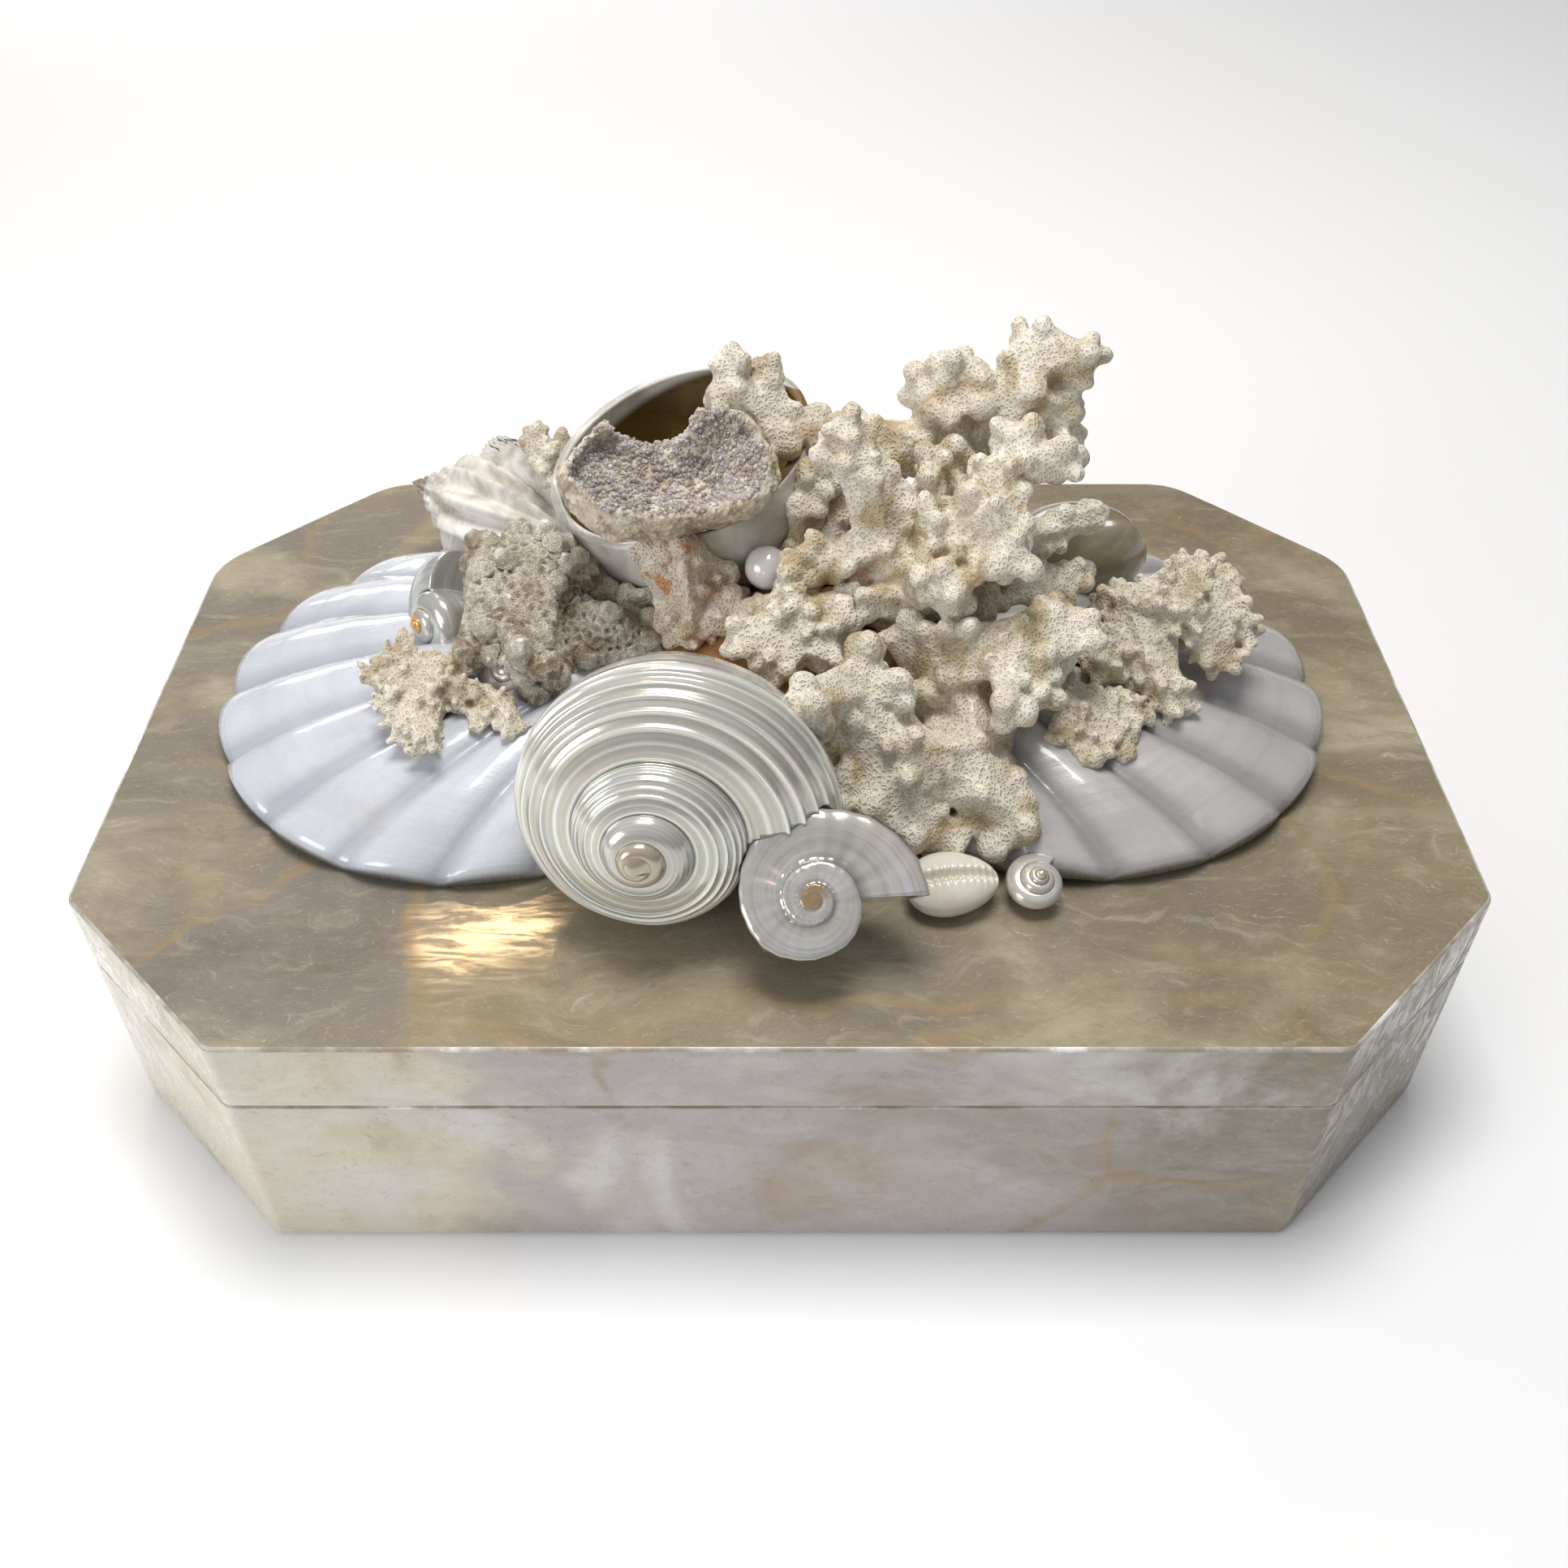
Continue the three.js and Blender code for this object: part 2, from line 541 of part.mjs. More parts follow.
// Corals, each given by its knobs
const CORALS = {
  coral_tall: {
    root: [38, 18, 20],
    knobs: [
      [-1, 46, 28, 38, 9], [0, 51, 31, 58, 8.5], [1, 57, 32, 72, 8], [2, 60, 37, 80, 7.5],
      [3, 71, 33, 80, 5.5], [2, 70, 32, 68, 2.8], [1, 70, 33, 58, 6], [0, 38, 30, 58, 7.5],
      [7, 39, 34, 68, 7], [8, 42, 35, 76, 6], [8, 34, 39, 70, 5], [8, 49, 31, 71, 5.5],
      [7, 26, 34, 56, 8], [12, 17, 36, 58, 6],
    ],
  },
  coral_bush: {
    root: [28, 2, 20],
    knobs: [
      [-1, 32, -4, 39, 9], [0, 24, -1, 54, 6.5], [1, 20, 2, 67, 6], [2, 15, 6, 78, 5],
      [2, 11, 6, 72, 3.8], [1, 13, -3, 48, 4.5], [5, 3, -5, 48, 3.5], [0, 19, -10, 42, 3],
      [1, 28, 3, 62, 3], [0, 34, 4, 54, 5], [9, 35, 9, 68, 3.5], [9, 41, 15, 66, 3.5],
      [9, 44, 15, 60, 3], [0, 42, -6, 56, 7.5], [13, 46, -4, 67, 6], [14, 52, -3, 75, 5.5],
      [15, 54, -1, 80, 4], [15, 63, -5, 76, 4.5], [13, 50, -13, 68, 6], [13, 51, -19, 60, 6],
      [13, 35, -11, 62, 4], [0, 35, -14, 50, 6], [21, 32, -15, 54, 4.5], [21, 39, -20, 54, 5.5],
      [21, 39, -20, 48, 4], [0, 48, -11, 42, 4.5], [13, 62, 5, 50, 4], [26, 67, 8, 52, 3],
      [26, 75, 11, 52, 2.5], [0, 58, -1, 40, 6], [29, 72, 6, 38, 3.5],
    ],
  },
  coral_front: {
    root: [34, -12, 12],
    knobs: [
      [-1, 44, -28, 22, 9], [0, 37, -21, 34, 9], [1, 28, -15, 36, 4.5], [1, 54, -23, 38, 8],
      [3, 61, -18, 43, 4.5], [3, 70, -22, 42, 4.2], [3, 60, -30, 32, 5], [3, 51, -40, 33, 3.5],
      [0, 42, -43, 18, 9], [8, 30, -46, 23, 8.5], [9, 22, -51, 20, 7], [10, 13, -51, 21, 4.5],
      [10, 30, -53, 12, 6.5], [9, 17, -36, 36, 7.5], [13, 19, -31, 45, 3], [13, 5, -54, 47, 4.5],
      [13, 27, -39, 38, 3.5], [9, 14, -45, 32, 5.5], [8, 49, -49, 15, 7.5], [18, 55, -51, 10, 4.5],
      [18, 53, -55, 5, 2.8], [12, 38, -53, 6, 5], [19, 48, -53, 7, 4.5],
    ],
  },
  coral_right: {
    root: [54, -4, 8],
    knobs: [
      [-1, 82, -7, 24, 8], [0, 87, -1, 30, 9], [1, 97, 2, 34, 9], [2, 103, 14, 34, 4],
      [2, 109, 8, 33, 4.5], [2, 110, -4, 28, 5.5], [2, 106, -9, 24, 4.5], [1, 89, -13, 24, 6],
      [7, 94, -20, 20, 5], [0, 75, -16, 26, 3.5], [1, 79, 3, 32, 4],
    ],
  },
  coral_right_low: {
    root: [50, -12, 8],
    knobs: [
      [-1, 66, -19, 20, 7], [0, 71, -27, 19, 8], [1, 82, -25, 20, 5], [1, 79, -32, 17, 5.5],
      [1, 71, -37, 17, 4.5], [1, 64, -33, 18, 4.5],
    ],
  },
  coral_centre: {
    root: [8, -2, 20],
    knobs: [
      [-1, 6, -10, 34, 8], [0, -9, -14, 34, 5], [0, 3, -8, 42, 4.5], [0, -1, -17, 30, 5.5],
      [0, 17, -8, 38, 5], [0, 11, -17, 32, 5], [0, -3, -7, 37, 4],
    ],
  },
  coral_behind_pearl: {
    root: [6, 10, 20],
    knobs: [
      [-1, 5, 19, 42, 8], [0, 5, 19, 52, 7], [1, 5, 21, 58, 5.5], [1, 10, 17, 56, 4.5],
      [1, -3, 17, 52, 5], [0, -8, 17, 43, 4],
    ],
  },
  coral_stained: {
    root: [-16, 0, 18],
    knobs: [
      [-1, -21, 0, 28, 8], [0, -22, 1, 38, 8], [1, -24, 1, 54, 4.5], [1, -31, 1, 48, 3.8],
      [1, -18, 4, 44, 5], [1, -14, 4, 40, 4.5], [0, -12, -3, 36, 5], [0, -27, -1, 28, 4.5],
    ],
  },
  coral_mid_left: {
    root: [-26, 8, 14],
    knobs: [
      [-1, -36, 11, 26, 7], [0, -46, 15, 33, 4.5], [0, -42, 12, 30, 4], [0, -33, 9, 33, 5],
    ],
  },
  coral_mouth: {
    root: [10, 14, 20],
    knobs: [
      [-1, 12, 25, 52, 7], [0, -3, 28, 67, 6.5], [1, -11, 28, 75, 5], [2, -12, 31, 81, 3.8],
      [1, -4, 35, 75, 3.6], [1, 10, 32, 62, 4.5],
    ],
  },
  coral_honeycomb: {
    root: [-40, 0, 10],
    knobs: [
      [-1, -54, 3, 24, 9], [0, -64, -1, 34, 11], [1, -70, 7, 42, 4], [1, -63, 14, 42, 4],
      [1, -54, 12, 42, 3], [1, -49, 10, 36, 3.5], [1, -70, -13, 32, 5], [1, -57, -20, 32, 4],
      [0, -42, -4, 26, 8], [8, -35, -2, 25, 5], [0, -57, -17, 22, 5],
    ],
  },
  coral_left_low: {
    root: [-50, -12, 8],
    knobs: [
      [-1, -70, -22, 20, 5.5], [0, -83, -16, 23, 6], [1, -95, -19, 26, 2.8], [1, -93, -14, 28, 2.8],
      [1, -90, -9, 28, 2.2], [1, -91, -27, 24, 2.8], [1, -87, -35, 22, 2.8], [1, -81, -38, 22, 2.8],
      [1, -76, -16, 28, 4], [1, -73, -24, 26, 3], [0, -66, -23, 22, 4.5], [10, -62, -32, 22, 3.2],
      [0, -68, -32, 17, 4.5], [12, -62, -39, 15, 2.6], [12, -72, -42, 14, 2.2],
    ],
  },
  coral_back_left: {
    root: [-60, 56, -6],
    knobs: [
      [-1, -60, 58, 14, 6], [0, -64, 62, 34, 4], [1, -72, 68, 36, 3], [1, -66, 66, 40, 3.2],
      [1, -58, 66, 34, 4],
    ],
  },
};

function addCorals() {
  const rooms = [solidOf(belowLid), solidOf(bedGeometry(2 * GAP)), ...shells.map(roomFor)];
  for (const [name, coral] of Object.entries(CORALS)) {
    const mesh = pieceMesh(name, geometryOf(coralSolid(coral)), paint(0xe8e2d2, 0.8));
    trim(mesh, rooms);
    heap.add(mesh);
    rooms.push(coralSolid(coral, GAP + CORAL_TIDY));
  }
}
addCorals();

const box = new THREE.Group();
const lid = new THREE.Group();
lid.position.z = LID_SEAT;
lid.add(lidMesh(), heap);
box.add(trayMesh(), lid);

export default box;
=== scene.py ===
import math

import bmesh
import bpy
import numpy as np
from mathutils import Euler, Matrix, Vector


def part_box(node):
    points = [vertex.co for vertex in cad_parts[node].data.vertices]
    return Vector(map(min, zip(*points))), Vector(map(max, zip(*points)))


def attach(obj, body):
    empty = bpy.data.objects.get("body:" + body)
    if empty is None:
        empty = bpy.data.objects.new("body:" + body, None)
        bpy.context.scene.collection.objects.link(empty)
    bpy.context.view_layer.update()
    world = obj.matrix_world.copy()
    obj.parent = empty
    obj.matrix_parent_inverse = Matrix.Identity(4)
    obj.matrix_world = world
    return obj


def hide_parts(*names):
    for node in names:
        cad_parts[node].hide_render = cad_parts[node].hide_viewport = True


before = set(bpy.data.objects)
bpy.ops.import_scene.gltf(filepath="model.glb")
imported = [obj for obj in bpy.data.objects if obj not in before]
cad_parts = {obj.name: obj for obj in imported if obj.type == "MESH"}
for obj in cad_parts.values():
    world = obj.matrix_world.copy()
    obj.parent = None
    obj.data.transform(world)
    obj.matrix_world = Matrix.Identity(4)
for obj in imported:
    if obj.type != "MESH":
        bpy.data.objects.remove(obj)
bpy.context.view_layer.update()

# Metres, in the frame of the solids: +Z up, the front of the box towards -Y. Pieces are drawn in
# millimetres and turned into metres as they are placed.

MM = 0.001
TAU = 2 * math.pi
LID_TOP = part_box("box_lid")[1].z / MM
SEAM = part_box("box_lid")[0].z / MM
HALF_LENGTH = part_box("box_tray")[1].x / MM
HALF_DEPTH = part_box("box_tray")[1].y / MM


# The view

VIEW_ELEVATION = math.radians(43)
VIEW_DISTANCE = 416.7
VIEW_AIM = Vector((0.94, 0, 45.6))
FRAME_PIXELS = 1932
FOCAL_PIXELS = 1935
SENSOR = 36


def link(obj):
    """Puts an object in the scene, once."""
    if obj.name not in bpy.context.scene.collection.objects:
        bpy.context.scene.collection.objects.link(obj)


def add_camera():
    data = bpy.data.cameras.new("camera")
    data.sensor_width = SENSOR
    data.lens = SENSOR * FOCAL_PIXELS / FRAME_PIXELS
    data.clip_start = 0.01
    camera = bpy.data.objects.new("camera", data)
    back = Vector((0, -math.cos(VIEW_ELEVATION), math.sin(VIEW_ELEVATION)))
    camera.location = (VIEW_AIM + back * VIEW_DISTANCE) * MM
    camera.rotation_euler = Euler((math.pi / 2 - VIEW_ELEVATION, 0, 0))
    link(camera)
    bpy.context.scene.camera = camera


def add_light(name, place, size, power, colour=(1, 1, 1)):
    """A soft square light that faces the middle of the heap; place and size are in metres."""
    data = bpy.data.lights.new(name, "AREA")
    data.shape = "RECTANGLE"
    data.size, data.size_y = size
    data.energy = power
    data.color = colour
    light = bpy.data.objects.new(name, data)
    light.location = place
    aim = Vector((0, 0, LID_TOP * MM)) - Vector(place)
    light.rotation_euler = aim.to_track_quat("-Z", "Y").to_euler()
    link(light)


def add_lights():
    bpy.context.scene.view_settings.view_transform = "Standard"
    world = bpy.data.worlds.new("soft daylight")
    bpy.context.scene.world = world
    world.use_nodes = True
    background = world.node_tree.nodes["Background"]
    background.inputs["Color"].default_value = (0.93, 0.96, 1, 1)
    paint = Paint(world.node_tree)
    sky = paint.parts(paint.add("ShaderNodeTexCoord")["Generated"])
    glow = paint.maths("SUBTRACT", paint.fade(sky["Z"], -0.1, 0.95, 0.1, 0.44),
                       paint.maths("MULTIPLY", sky["X"], 0.07))
    seen = paint.add("ShaderNodeLightPath")["Is Camera Ray"]
    backdrop = paint.add("ShaderNodeMix", {0: seen, 2: glow, 3: 0.93})[0]
    paint.feed(background.inputs["Strength"], backdrop)
    add_light("window", (-0.45, 1.35, 0.36), (1.1, 0.25), 4.6, (1, 0.99, 0.97))
    add_light("sky", (0.0, 0.05, 1.1), (0.45, 0.35), 7.8, (1, 0.99, 0.97))
    add_light("left fill", (-1.0, -0.75, 0.5), (0.6, 0.5), 7, (0.97, 0.97, 1))
    add_light("lamp", (-0.286, 0.707, 0.953), (0.13, 0.055), 0.9, (1, 0.66, 0.34))


# Node trees

class Paint:
    """Short way to add nodes to one node tree; inputs are values or other nodes' outputs."""

    def __init__(self, tree):
        self.tree = tree

    def add(self, kind, inputs=None, **settings):
        node = self.tree.nodes.new(kind)
        for key, value in settings.items():
            setattr(node, key, value)
        for key, value in (inputs or {}).items():
            self.feed(node.inputs[key], value)
        return node.outputs

    def feed(self, socket, value):
        if isinstance(value, bpy.types.NodeSocket):
            self.tree.links.new(value, socket)
        elif socket.type == "RGBA" and len(value) == 3:
            socket.default_value = (*value, 1)
        else:
            socket.default_value = value

    def maths(self, operation, first, second=0.0):
        inputs = {0: first} if operation in ONE_VALUE else {0: first, 1: second}
        return self.add("ShaderNodeMath", inputs, operation=operation)[0]

    def mix(self, share, first, second):
        return self.add("ShaderNodeMix", {0: share, 6: first, 7: second}, data_type="RGBA")[2]

    def fade(self, value, low, high, start=0.0, end=1.0):
        """Smooth step of a value from `low` to `high`."""
        inputs = {"Value": value, "From Min": low, "From Max": high, "To Min": start, "To Max": end}
        return self.add("ShaderNodeMapRange", inputs, interpolation_type="SMOOTHSTEP")[0]

    def wash(self, tint, colour, value, low, high, share=1.0, start=0.0):
        """Mixes a colour over a tint by a smooth step of a value, from `start` to `share`."""
        return self.mix(self.fade(value, low, high, start, share), tint, colour)

    # Mixes a colour over a tint by a mask: for real stains and growth lines, and for painted shade
    # at sutures and in coral cups.
    def stain(self, tint, colour, mask, share):
        return self.mix(self.maths("MULTIPLY", mask, share), tint, colour)

    def clouds(self, vector, scale, tints, spread=0.12):
        dark, middle, light = tints
        return self.group(CLOUDS, {"Vector": vector, "Scale": scale, "Spread": spread,
                                   "Dark": dark, "Middle": middle, "Light": light})

    def growth(self, vector, lines, waver):
        return self.group(GROWTH, {"Vector": vector, "Lines": lines, "Waver": waver})

    def specks(self, vector, scale, amount):
        given = {"Vector": vector, "Scale": scale, "Amount": amount}
        return self.group(SPECKS, given)["Mask"]

    def ramp(self, share, *stops):
        """Colour for each place of a share from 0 to 1: stops are (place, colour)."""
        colour = stops[0][1]
        for (low, _), (high, after) in zip(stops, stops[1:]):
            colour = self.mix(self.fade(share, low, high), colour, after)
        return colour

    def noise(self, vector, scale, detail=2.0, roughness=0.5, distortion=0.0):
        inputs = {"Vector": vector, "Scale": scale, "Detail": detail,
                  "Roughness": roughness, "Distortion": distortion}
        return self.add("ShaderNodeTexNoise", inputs)[0]

    def cells(self, vector, scale, feature="F1", **inputs):
        given = {"Vector": vector, "Scale": scale, **inputs}
        return self.add("ShaderNodeTexVoronoi", given, feature=feature)

    def stretch(self, vector, scale):
        return self.add("ShaderNodeMapping", {"Vector": vector, "Scale": scale})[0]

    def pair(self, x, y):
        return self.add("ShaderNodeCombineXYZ", {"X": x, "Y": y})[0]

    def parts(self, vector):
        return self.add("ShaderNodeSeparateXYZ", {"Vector": vector})

    def group(self, group, inputs):
        node = self.tree.nodes.new("ShaderNodeGroup")
        node.node_tree = group
        for key, value in inputs.items():
            self.feed(node.inputs[key], value)
        return node.outputs


ONE_VALUE = {"SINE", "ABSOLUTE", "FRACT"}
SOCKETS = {"vector": "NodeSocketVector", "colour": "NodeSocketColor", "value": "NodeSocketFloat"}


def new_group(name, inputs, outputs):
    """An empty node group; returns it with its Paint, its input sockets and its output node."""
    tree = bpy.data.node_groups.new(name, "ShaderNodeTree")
    for label, kind, value in inputs:
        socket = tree.interface.new_socket(label, in_out="INPUT", socket_type=SOCKETS[kind])
        if value is not None:
            socket.default_value = (*value, 1) if kind == "colour" else value
    for label, kind in outputs:
        tree.interface.new_socket(label, in_out="OUTPUT", socket_type=SOCKETS[kind])
    paint = Paint(tree)
    given = tree.nodes.new("NodeGroupInput").outputs
    result = tree.nodes.new("NodeGroupOutput").inputs
    return tree, paint, given, result


def cloud_group():
    """Soft clouds of three tints, as in sheets of shell."""
    tree, paint, given, result = new_group("clouded tint", [
        ("Vector", "vector", None), ("Scale", "value", 40.0), ("Spread", "value", 0.12),
        ("Dark", "colour", (0.4, 0.35, 0.28)), ("Middle", "colour", (0.6, 0.55, 0.45)),
        ("Light", "colour", (0.8, 0.76, 0.68)),
    ], [("Color", "colour"), ("Mask", "value")])
    wave = paint.noise(given["Vector"], given["Scale"], 5.0, 0.55, 0.6)
    low = paint.maths("SUBTRACT", 0.5, given["Spread"])
    high = paint.maths("ADD", 0.5, given["Spread"])
    mask = paint.fade(wave, low, high)
    darker = paint.wash(given["Dark"], given["Middle"], mask, 0.0, 0.5)
    tint = paint.wash(darker, given["Light"], mask, 0.5, 1.0)
    paint.feed(result["Color"], tint)
    paint.feed(result["Mask"], mask)
    return tree


def growth_group():
    """Fine uneven growth lines across a shell, drawn along its U direction."""
    tree, paint, given, result = new_group("growth lines", [
        ("Vector", "vector", None), ("Lines", "value", 60.0), ("Waver", "value", 1.5),
    ], [("Mask", "value"), ("Height", "value")])
    place = paint.parts(given["Vector"])
    waver = paint.noise(given["Vector"], 3.0, 3.0)
    shifted = paint.maths("ADD", place["X"], paint.maths("MULTIPLY", waver,
                          paint.maths("DIVIDE", given["Waver"], given["Lines"])))
    spread = paint.pair(paint.maths("MULTIPLY", shifted, given["Lines"]),
                        paint.maths("MULTIPLY", place["Y"], 1.5))
    lines = paint.noise(spread, 1.0, 4.0, 0.65)
    paint.feed(result["Mask"], paint.fade(lines, 0.4, 0.66))
    paint.feed(result["Height"], lines)
    return tree


def nacre_group():
    """The play of colour of mother of pearl, in soft bands that follow the growth."""
    tree, paint, given, result = new_group("pearly play of colour", [
        ("Vector", "vector", None), ("Scale", "value", 4.0), ("Strength", "value", 0.3),
        ("Base", "colour", (0.8, 0.78, 0.72)), ("Green", "colour", (0.72, 0.8, 0.62)),
        ("Pink", "colour", (0.92, 0.7, 0.74)), ("Blue", "colour", (0.66, 0.76, 0.92)),
    ], [("Color", "colour"), ("Mask", "value")])
    wave = paint.noise(given["Vector"], given["Scale"], 3.0, 0.55, 1.2)
    turned = paint.maths("FRACT", paint.maths("MULTIPLY", wave, 5.0))
    hue = paint.ramp(turned, (0.0, given["Green"]), (0.33, given["Pink"]), (0.66, given["Blue"]),
                     (1.0, given["Green"]))
    patch = paint.noise(given["Vector"], paint.maths("MULTIPLY", given["Scale"], 0.7), 2.0)
    share = paint.maths("MULTIPLY", paint.fade(patch, 0.4, 0.62), given["Strength"])
    paint.feed(result["Color"], paint.mix(share, given["Base"], hue))
    paint.feed(result["Mask"], share)
    return tree


def pits_group():
    """Shallow cups packed side by side with thin walls between them, as in coral."""
    tree, paint, given, result = new_group("packed pits", [
        ("Vector", "vector", None), ("Scale", "value", 800.0), ("Width", "value", 0.25),
    ], [("Mask", "value"), ("Height", "value")])
    walls = paint.cells(given["Vector"], given["Scale"], "DISTANCE_TO_EDGE")[0]
    bent = paint.noise(given["Vector"], paint.maths("MULTIPLY", given["Scale"], 0.3), 2.0)
    width = paint.maths("MULTIPLY", given["Width"], paint.maths("ADD", bent, 0.5))
    cups = paint.fade(walls, paint.maths("MULTIPLY", width, 0.25), width)
    paint.feed(result["Mask"], cups)
    paint.feed(result["Height"], paint.maths("SUBTRACT", 1.0, cups))
    return tree


def specks_group():
    """Scattered specks and stains."""
    tree, paint, given, result = new_group("specks", [
        ("Vector", "vector", None), ("Scale", "value", 100.0), ("Amount", "value", 0.3),
    ], [("Mask", "value")])
    wave = paint.noise(given["Vector"], given["Scale"], 3.0, 0.6)
    edge = paint.maths("SUBTRACT", 0.85, paint.maths("MULTIPLY", given["Amount"], 0.5))
    inner = paint.maths("ADD", edge, 0.06)
    paint.feed(result["Mask"], paint.fade(wave, edge, inner))
    return tree


CLOUDS = cloud_group()
GROWTH = growth_group()
NACRE = nacre_group()
PITS = pits_group()
SPECKS = specks_group()


class Finish(Paint):
    """A new material and the means to paint it, with the object's and the UV coordinates."""

    def __init__(self, name):
        self.material = bpy.data.materials.new(name)
        self.material.use_nodes = True
        super().__init__(self.material.node_tree)
        self.sockets = self.tree.nodes["Principled BSDF"].inputs
        coordinates = self.add("ShaderNodeTexCoord")
        self.place, self.uv = coordinates["Object"], coordinates["UV"]

    def shade(self, **values):
        for key, value in values.items():
            self.feed(self.sockets[key.replace("_", " ")], value)

    def bump(self, *layers):
        """Feeds the shader's normal; each layer is (height, depth in mm, strength)."""
        normal = None
        for height, depth, strength in layers:
            inputs = {"Height": height, "Distance": depth * MM, "Strength": strength}
            if normal is not None:
                inputs["Normal"] = normal
            normal = self.add("ShaderNodeBump", inputs)["Normal"]
        self.feed(self.sockets["Normal"], normal)


def glow(weight, deep, radius=(1.0, 0.85, 0.7)):
    """Shader values for light that passes a little way into a surface, `deep` in metres."""
    return {"Subsurface_Weight": weight, "Subsurface_Scale": deep, "Subsurface_Radius": radius}


def tints(dark, light, share=0.5):
    """Dark, middle and light colour, the middle one with the given share of the light one."""
    return dark, tuple(share * a + (1 - share) * b for a, b in zip(light, dark)), light


# Finishes

SHEET_SCALE = 11.0


def lid_tint(paint, spot, sheets, smoke, bent):
    """Smoky, olive-brown sheets, browner to the right and greyer to the left; painted shade darkens
    the back.
    """
    own = paint.parts(sheets["Color"])
    tint = paint.ramp(own["X"], (0.1, (0.245, 0.212, 0.165)), (0.4, (0.30, 0.245, 0.16)),
                      (0.65, (0.27, 0.22, 0.135)), (0.9, (0.335, 0.285, 0.19)))
    tint = paint.wash(tint, (0.2, 0.155, 0.092), spot["X"], 0.0, 0.1, 0.65)
    tint = paint.wash(tint, (0.235, 0.212, 0.178), spot["X"], -0.05, -0.1, 0.65)
    # Painted shade: the lid darkens towards the back.
    tint = paint.wash(tint, (0.185, 0.155, 0.115), spot["Y"], -0.07, 0.03, 0.35)
    tint = paint.wash(tint, (0.185, 0.16, 0.125), smoke, 0.5, 0.72, 0.6)
    tint = paint.wash(tint, (0.46, 0.4, 0.28), smoke, 0.52, 0.28, 0.8)
    brush = paint.noise(paint.stretch(bent, (55.0, 190.0, 120.0)), 1.0, 4.0, 0.62, 0.6)
    tint = paint.wash(tint, (0.46, 0.41, 0.31), brush, 0.52, 0.7, 0.35)
    return paint.wash(tint, (0.17, 0.145, 0.105), brush, 0.48, 0.32, 0.35)


def side_tint(paint, spot, smoke):
    """Paler sheets: cream in painted light to the left, lavender white in the middle, grey brown in
    painted shade to the right.
    """
    waver = paint.maths("MULTIPLY", paint.noise(paint.place, 30.0, 4.0, 0.6), 0.05)
    across = paint.maths("ADD", spot["X"], waver)
    # Painted light and shade: cream on the left where light falls, grey brown on the right in
    # shade.
    tint = paint.ramp(across, (-0.045, (0.64, 0.585, 0.455)), (-0.03, (0.475, 0.425, 0.405)),
                      (0.07, (0.475, 0.425, 0.405)), (0.12, (0.295, 0.255, 0.21)))
    tint = paint.wash(tint, (0.66, 0.63, 0.59), smoke, 0.48, 0.34, 0.8)
    return paint.wash(tint, (0.34, 0.29, 0.235), smoke, 0.54, 0.7, 0.7)


def veneer_material():
    """Lacquered sheets of translucent shell, each of its own tint, with fine hairs of grain."""
    paint = Finish("lacquered shell veneer")
    place = paint.place
    spot = paint.parts(place)
    drift = paint.add("ShaderNodeTexNoise", {"Vector": place, "Scale": 26.0, "Detail": 4.0})[1]
    bent = paint.add("ShaderNodeVectorMath", {
        0: place, 1: paint.stretch(drift, (0.035, 0.035, 0.035))}, operation="ADD")[0]
    sheets = paint.cells(bent, SHEET_SCALE, "SMOOTH_F1", Smoothness=0.22)
    joints = paint.cells(bent, SHEET_SCALE, "DISTANCE_TO_EDGE")[0]
    smoke = paint.noise(paint.stretch(place, (1.0, 1.4, 1.0)), 17.0, 5.0, 0.52, 0.6)
    side = paint.fade(spot["Z"], LID_TOP * MM - 0.0007, LID_TOP * MM - 0.0001, 1.0, 0.0)
    tint = paint.mix(side, lid_tint(paint, spot, sheets, smoke, bent),
                     side_tint(paint, spot, smoke))
    amber = paint.noise(place, 34.0, 3.0, 0.5, 0.5)
    tint = paint.wash(tint, (0.42, 0.32, 0.17), amber, 0.54, 0.8, 0.5)
    hair = paint.noise(paint.stretch(bent, (300.0, 1100.0, 700.0)), 1.0, 4.0, 0.7, 1.8)
    tint = paint.wash(tint, (0.8, 0.75, 0.64), hair, 0.55, 0.72, 0.24)
    tint = paint.wash(tint, (0.16, 0.135, 0.1), hair, 0.46, 0.3, 0.35)
    joint = paint.maths("MULTIPLY", paint.fade(joints, 0.0, 0.03, 0.5, 0.0),
                        paint.fade(smoke, 0.4, 0.6))
    tint = paint.mix(joint, tint, (0.36, 0.25, 0.11))
    wave = paint.noise(place, 70.0, 3.0)
    thick = paint.noise(paint.stretch(place, (60.0, 300.0, 120.0)), 1.0, 6.0, 0.75, 1.0)
    paint.shade(Base_Color=tint, Roughness=paint.fade(wave, 0.3, 0.7, 0.32, 0.48),
                Coat_Weight=paint.fade(thick, 0.42, 0.62, 0.08, 1.0), Coat_Roughness=0.08,
                Specular_IOR_Level=0.15, IOR=1.45)
    paint.bump((wave, 0.14, 0.35), (hair, 0.03, 0.5))
    return paint.material


def edge_material():
    """The paler edges of the veneer, whitish in places along the rims and the seam."""
    paint = Finish("veneer edge")
    place = paint.place
    mix_share = paint.noise(place, 55.0, 5.0, 0.65)
    tint = paint.ramp(mix_share, (0.42, (0.33, 0.29, 0.22)), (0.55, (0.5, 0.47, 0.41)),
                      (0.64, (0.82, 0.8, 0.76)))
    paint.shade(Base_Color=tint, Roughness=paint.fade(mix_share, 0.3, 0.7, 0.25, 0.45), Coat_Weight=0.3,
                Coat_Roughness=0.15, IOR=1.45)
    paint.bump((paint.noise(place, 700.0, 3.0, 0.6), 0.1, 0.6))
    return paint.material


